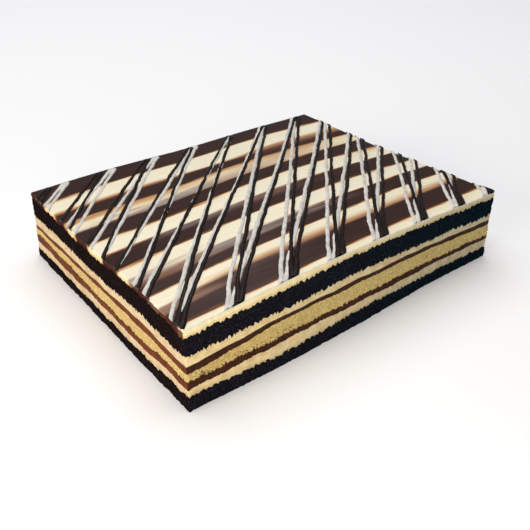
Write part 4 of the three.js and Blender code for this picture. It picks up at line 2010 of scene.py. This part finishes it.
@dataclass(frozen=True)
class Studio:
    """Floor, lights, surroundings and camera."""

    azimuth: float = -37.606
    elevation: float = 31.66
    roll: float = 0.564
    camera_place: Place = (-0.307375, -0.4043, 0.303902)
    focal: float = 45.32
    sensor: float = 36.0
    nearest: float = 0.01
    floor_size: float = 6.0
    floor_roughness: float = 0.9
    floor_colour: Colour = linear("f9f8f8")
    sky: Colour = (0.93, 0.95, 1.0, 1.0)
    sky_strength: float = 0.14
    lamps: tuple[Lamp, ...] = (
        Lamp("ceiling", (0.3, 1.0, 2.8), (0.3, 1.0, 0), (4.0, 4.0), 106.0, (0.97, 0.98, 1.0)),
        Lamp("key", (-1.4, -0.15, 0.5), (0, 0, 0.03), (1.0, 0.6), 9.8, (1.0, 0.92, 0.82)),
        Lamp("near", (-0.5, -0.62, 0.3), (-0.14, -0.12, 0.03), (0.25, 0.25), 1.35, (1.0, 0.97, 0.88)),
    )

    def build(self) -> None:
        """Adds everything that isn't the cake."""
        self._floor()
        for lamp in self.lamps:
            lamp.build()
        world = bpy.data.worlds.new("surroundings")
        world.use_nodes = True
        background = world.node_tree.nodes["Background"]
        background.inputs["Color"].default_value = self.sky
        background.inputs["Strength"].default_value = self.sky_strength
        scene = bpy.context.scene
        scene.world = world
        scene.view_settings.view_transform = "Standard"
        scene.camera = self._camera()

    def _floor(self) -> None:
        """Adds a plain floor just under the cake."""
        half = self.floor_size / 2 / MM
        points = np.array([[-half, -half, 0], [half, -half, 0], [half, half, 0], [-half, half, 0]], float)
        piece = MeshMaker.make("floor", points, np.array([[0, 1, 2, 3]]), np.zeros((0, 3), int))
        made = bpy.data.materials.new("floor")
        made.use_nodes = True
        shader = made.node_tree.nodes["Principled BSDF"]
        shader.inputs["Base Color"].default_value = self.floor_colour
        shader.inputs["Roughness"].default_value = self.floor_roughness
        piece.data.materials.append(made)

    def _camera(self) -> bpy.types.Object:
        """Adds the camera from its direction, roll and place.

        Returns:
            The camera.
        """
        az, el, roll = (math.radians(a) for a in (self.azimuth, self.elevation, self.roll))
        forward = Vector((-math.sin(az) * math.cos(el), math.cos(az) * math.cos(el), -math.sin(el)))
        right = forward.cross(Vector((0, 0, 1))).normalized()
        down = forward.cross(right)
        image_x = math.cos(roll) * right + math.sin(roll) * down
        image_y = math.cos(roll) * down - math.sin(roll) * right
        data = bpy.data.cameras.new("camera")
        data.sensor_width = self.sensor
        data.lens = self.focal
        data.clip_start = self.nearest
        camera = bpy.data.objects.new("camera", data)
        turn = Matrix((image_x, -image_y, -forward)).transposed()
        camera.matrix_world = Matrix.Translation(self.camera_place) @ turn.to_4x4()
        bpy.context.scene.collection.objects.link(camera)
        return camera


def layers(cake: Cake, kitchen: Kitchen) -> list[Layer]:
    """Lists the seven layers under the glaze.

    Args:
        cake: the shared form.
        kitchen: the finishes.

    Returns:
        The layers, from the bottom up.
    """
    rows = (
        ("base_sponge", Slot.CHOCOLATE, CRUMB_RELIEF, kitchen.chocolate),
        ("lower_cream", Slot.CREAM, CREAM_RELIEF, kitchen.cream),
        ("lower_ganache", Slot.GANACHE, GANACHE_RELIEF, kitchen.ganache),
        ("vanilla_sponge", Slot.VANILLA, CRUMB_RELIEF, kitchen.vanilla),
        ("upper_ganache", Slot.GANACHE, GANACHE_RELIEF, kitchen.ganache),
        ("upper_cream", Slot.CREAM, CREAM_RELIEF, kitchen.cream),
        ("top_sponge", Slot.CHOCOLATE, CRUMB_RELIEF, kitchen.chocolate),
    )
    return [Layer(cake, index, *row) for index, row in enumerate(rows)]


def drizzles(cake: Cake, kitchen: Kitchen) -> list[Drizzle]:
    """Lays the white zigzag and the dark one over it.

    Args:
        cake: the shared form.
        kitchen: the finishes.

    Returns:
        The two drizzles.
    """
    white = Drizzle(
        cake,
        "white_drizzle",
        kitchen.white,
        front_turns=(-378, -336, -292, -250, -208, -166, -122.5, -78.6, -35.6, 7.6, 52, 97.8, 136),
        back_turns=(-165, -121, -76, -32, 10.5, 52.5, 92.5, 135, 177.5, 220, 262, 304, 346, 388),
        front_reach=-120.5,
        back_reach=118.5,
        front_gap=3.4,
        back_gap=3.6,
        left_bow=1.0,
        right_bow=3.0,
        width=3.05,
        height=0.7,
        turn_width=4.4,
        pool_width=3.4,
        pool_height=0.8,
        seed=300,
    )
    dark = Drizzle(
        cake,
        "dark_drizzle",
        kitchen.dark,
        front_turns=(-376, -332, -288, -243, -200.5, -161, -116, -71, -28.2, 15, 59.6, 104.8, 144),
        back_turns=(-184, -138, -90, -42, 4.5, 50.5, 95, 139.5, 182.5, 226, 269, 313.5, 357.5, 401.5),
        front_reach=-121.5,
        back_reach=117.5,
        front_gap=2.0,
        back_gap=5.6,
        left_bow=-0.6,
        right_bow=1.0,
        width=3.2,
        height=1.05,
        turn_width=4.2,
        pool_width=5.4,
        pool_height=1.6,
        seed=320,
    )
    return [white, dark]


def loose_crumbs(cake: Cake, kitchen: Kitchen) -> list[Crumbs]:
    """Scatters crumbs along the edges of the sponges, and drags some down near the front left corner.

    Args:
        cake: the shared form.
        kitchen: the finishes.

    Returns:
        The two groups of crumbs.
    """
    dragged = Crumbs(
        cake,
        kitchen.chocolate,
        "dragged_crumbs",
        seams=(3,),
        count=190,
        seed=10,
        lift=2.2,
        spread=1.4,
        reach=(1.004, 1.085),
        size=(0.45, 1.1),
    )
    return [Crumbs(cake, kitchen.chocolate, "crumbs", seams=(1, 3, 6, 7), count=380, seed=9), dragged]


def main() -> None:
    """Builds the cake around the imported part, then its surroundings."""
    logging.basicConfig(level=logging.INFO, format="%(name)s: %(message)s")
    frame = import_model()
    corners = np.array([[list(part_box(node)[k]) for k in (0, 1)] for node in frame["nodes"]]) / MM
    cake = Cake(Form(), corners[:, 0].min(axis=0), corners[:, 1].max(axis=0))
    kitchen = Kitchen()
    glaze = Glaze(cake, kitchen.glaze)
    for part in (*layers(cake, kitchen), glaze, *drizzles(cake, kitchen), *loose_crumbs(cake, kitchen)):
        piece = part.build(kitchen.effects)
        piece.data.calc_loop_triangles()
        LOG.info("%s: %d triangles", piece.name, len(piece.data.loop_triangles))
    Studio().build()


if __name__ == "__main__":
    main()
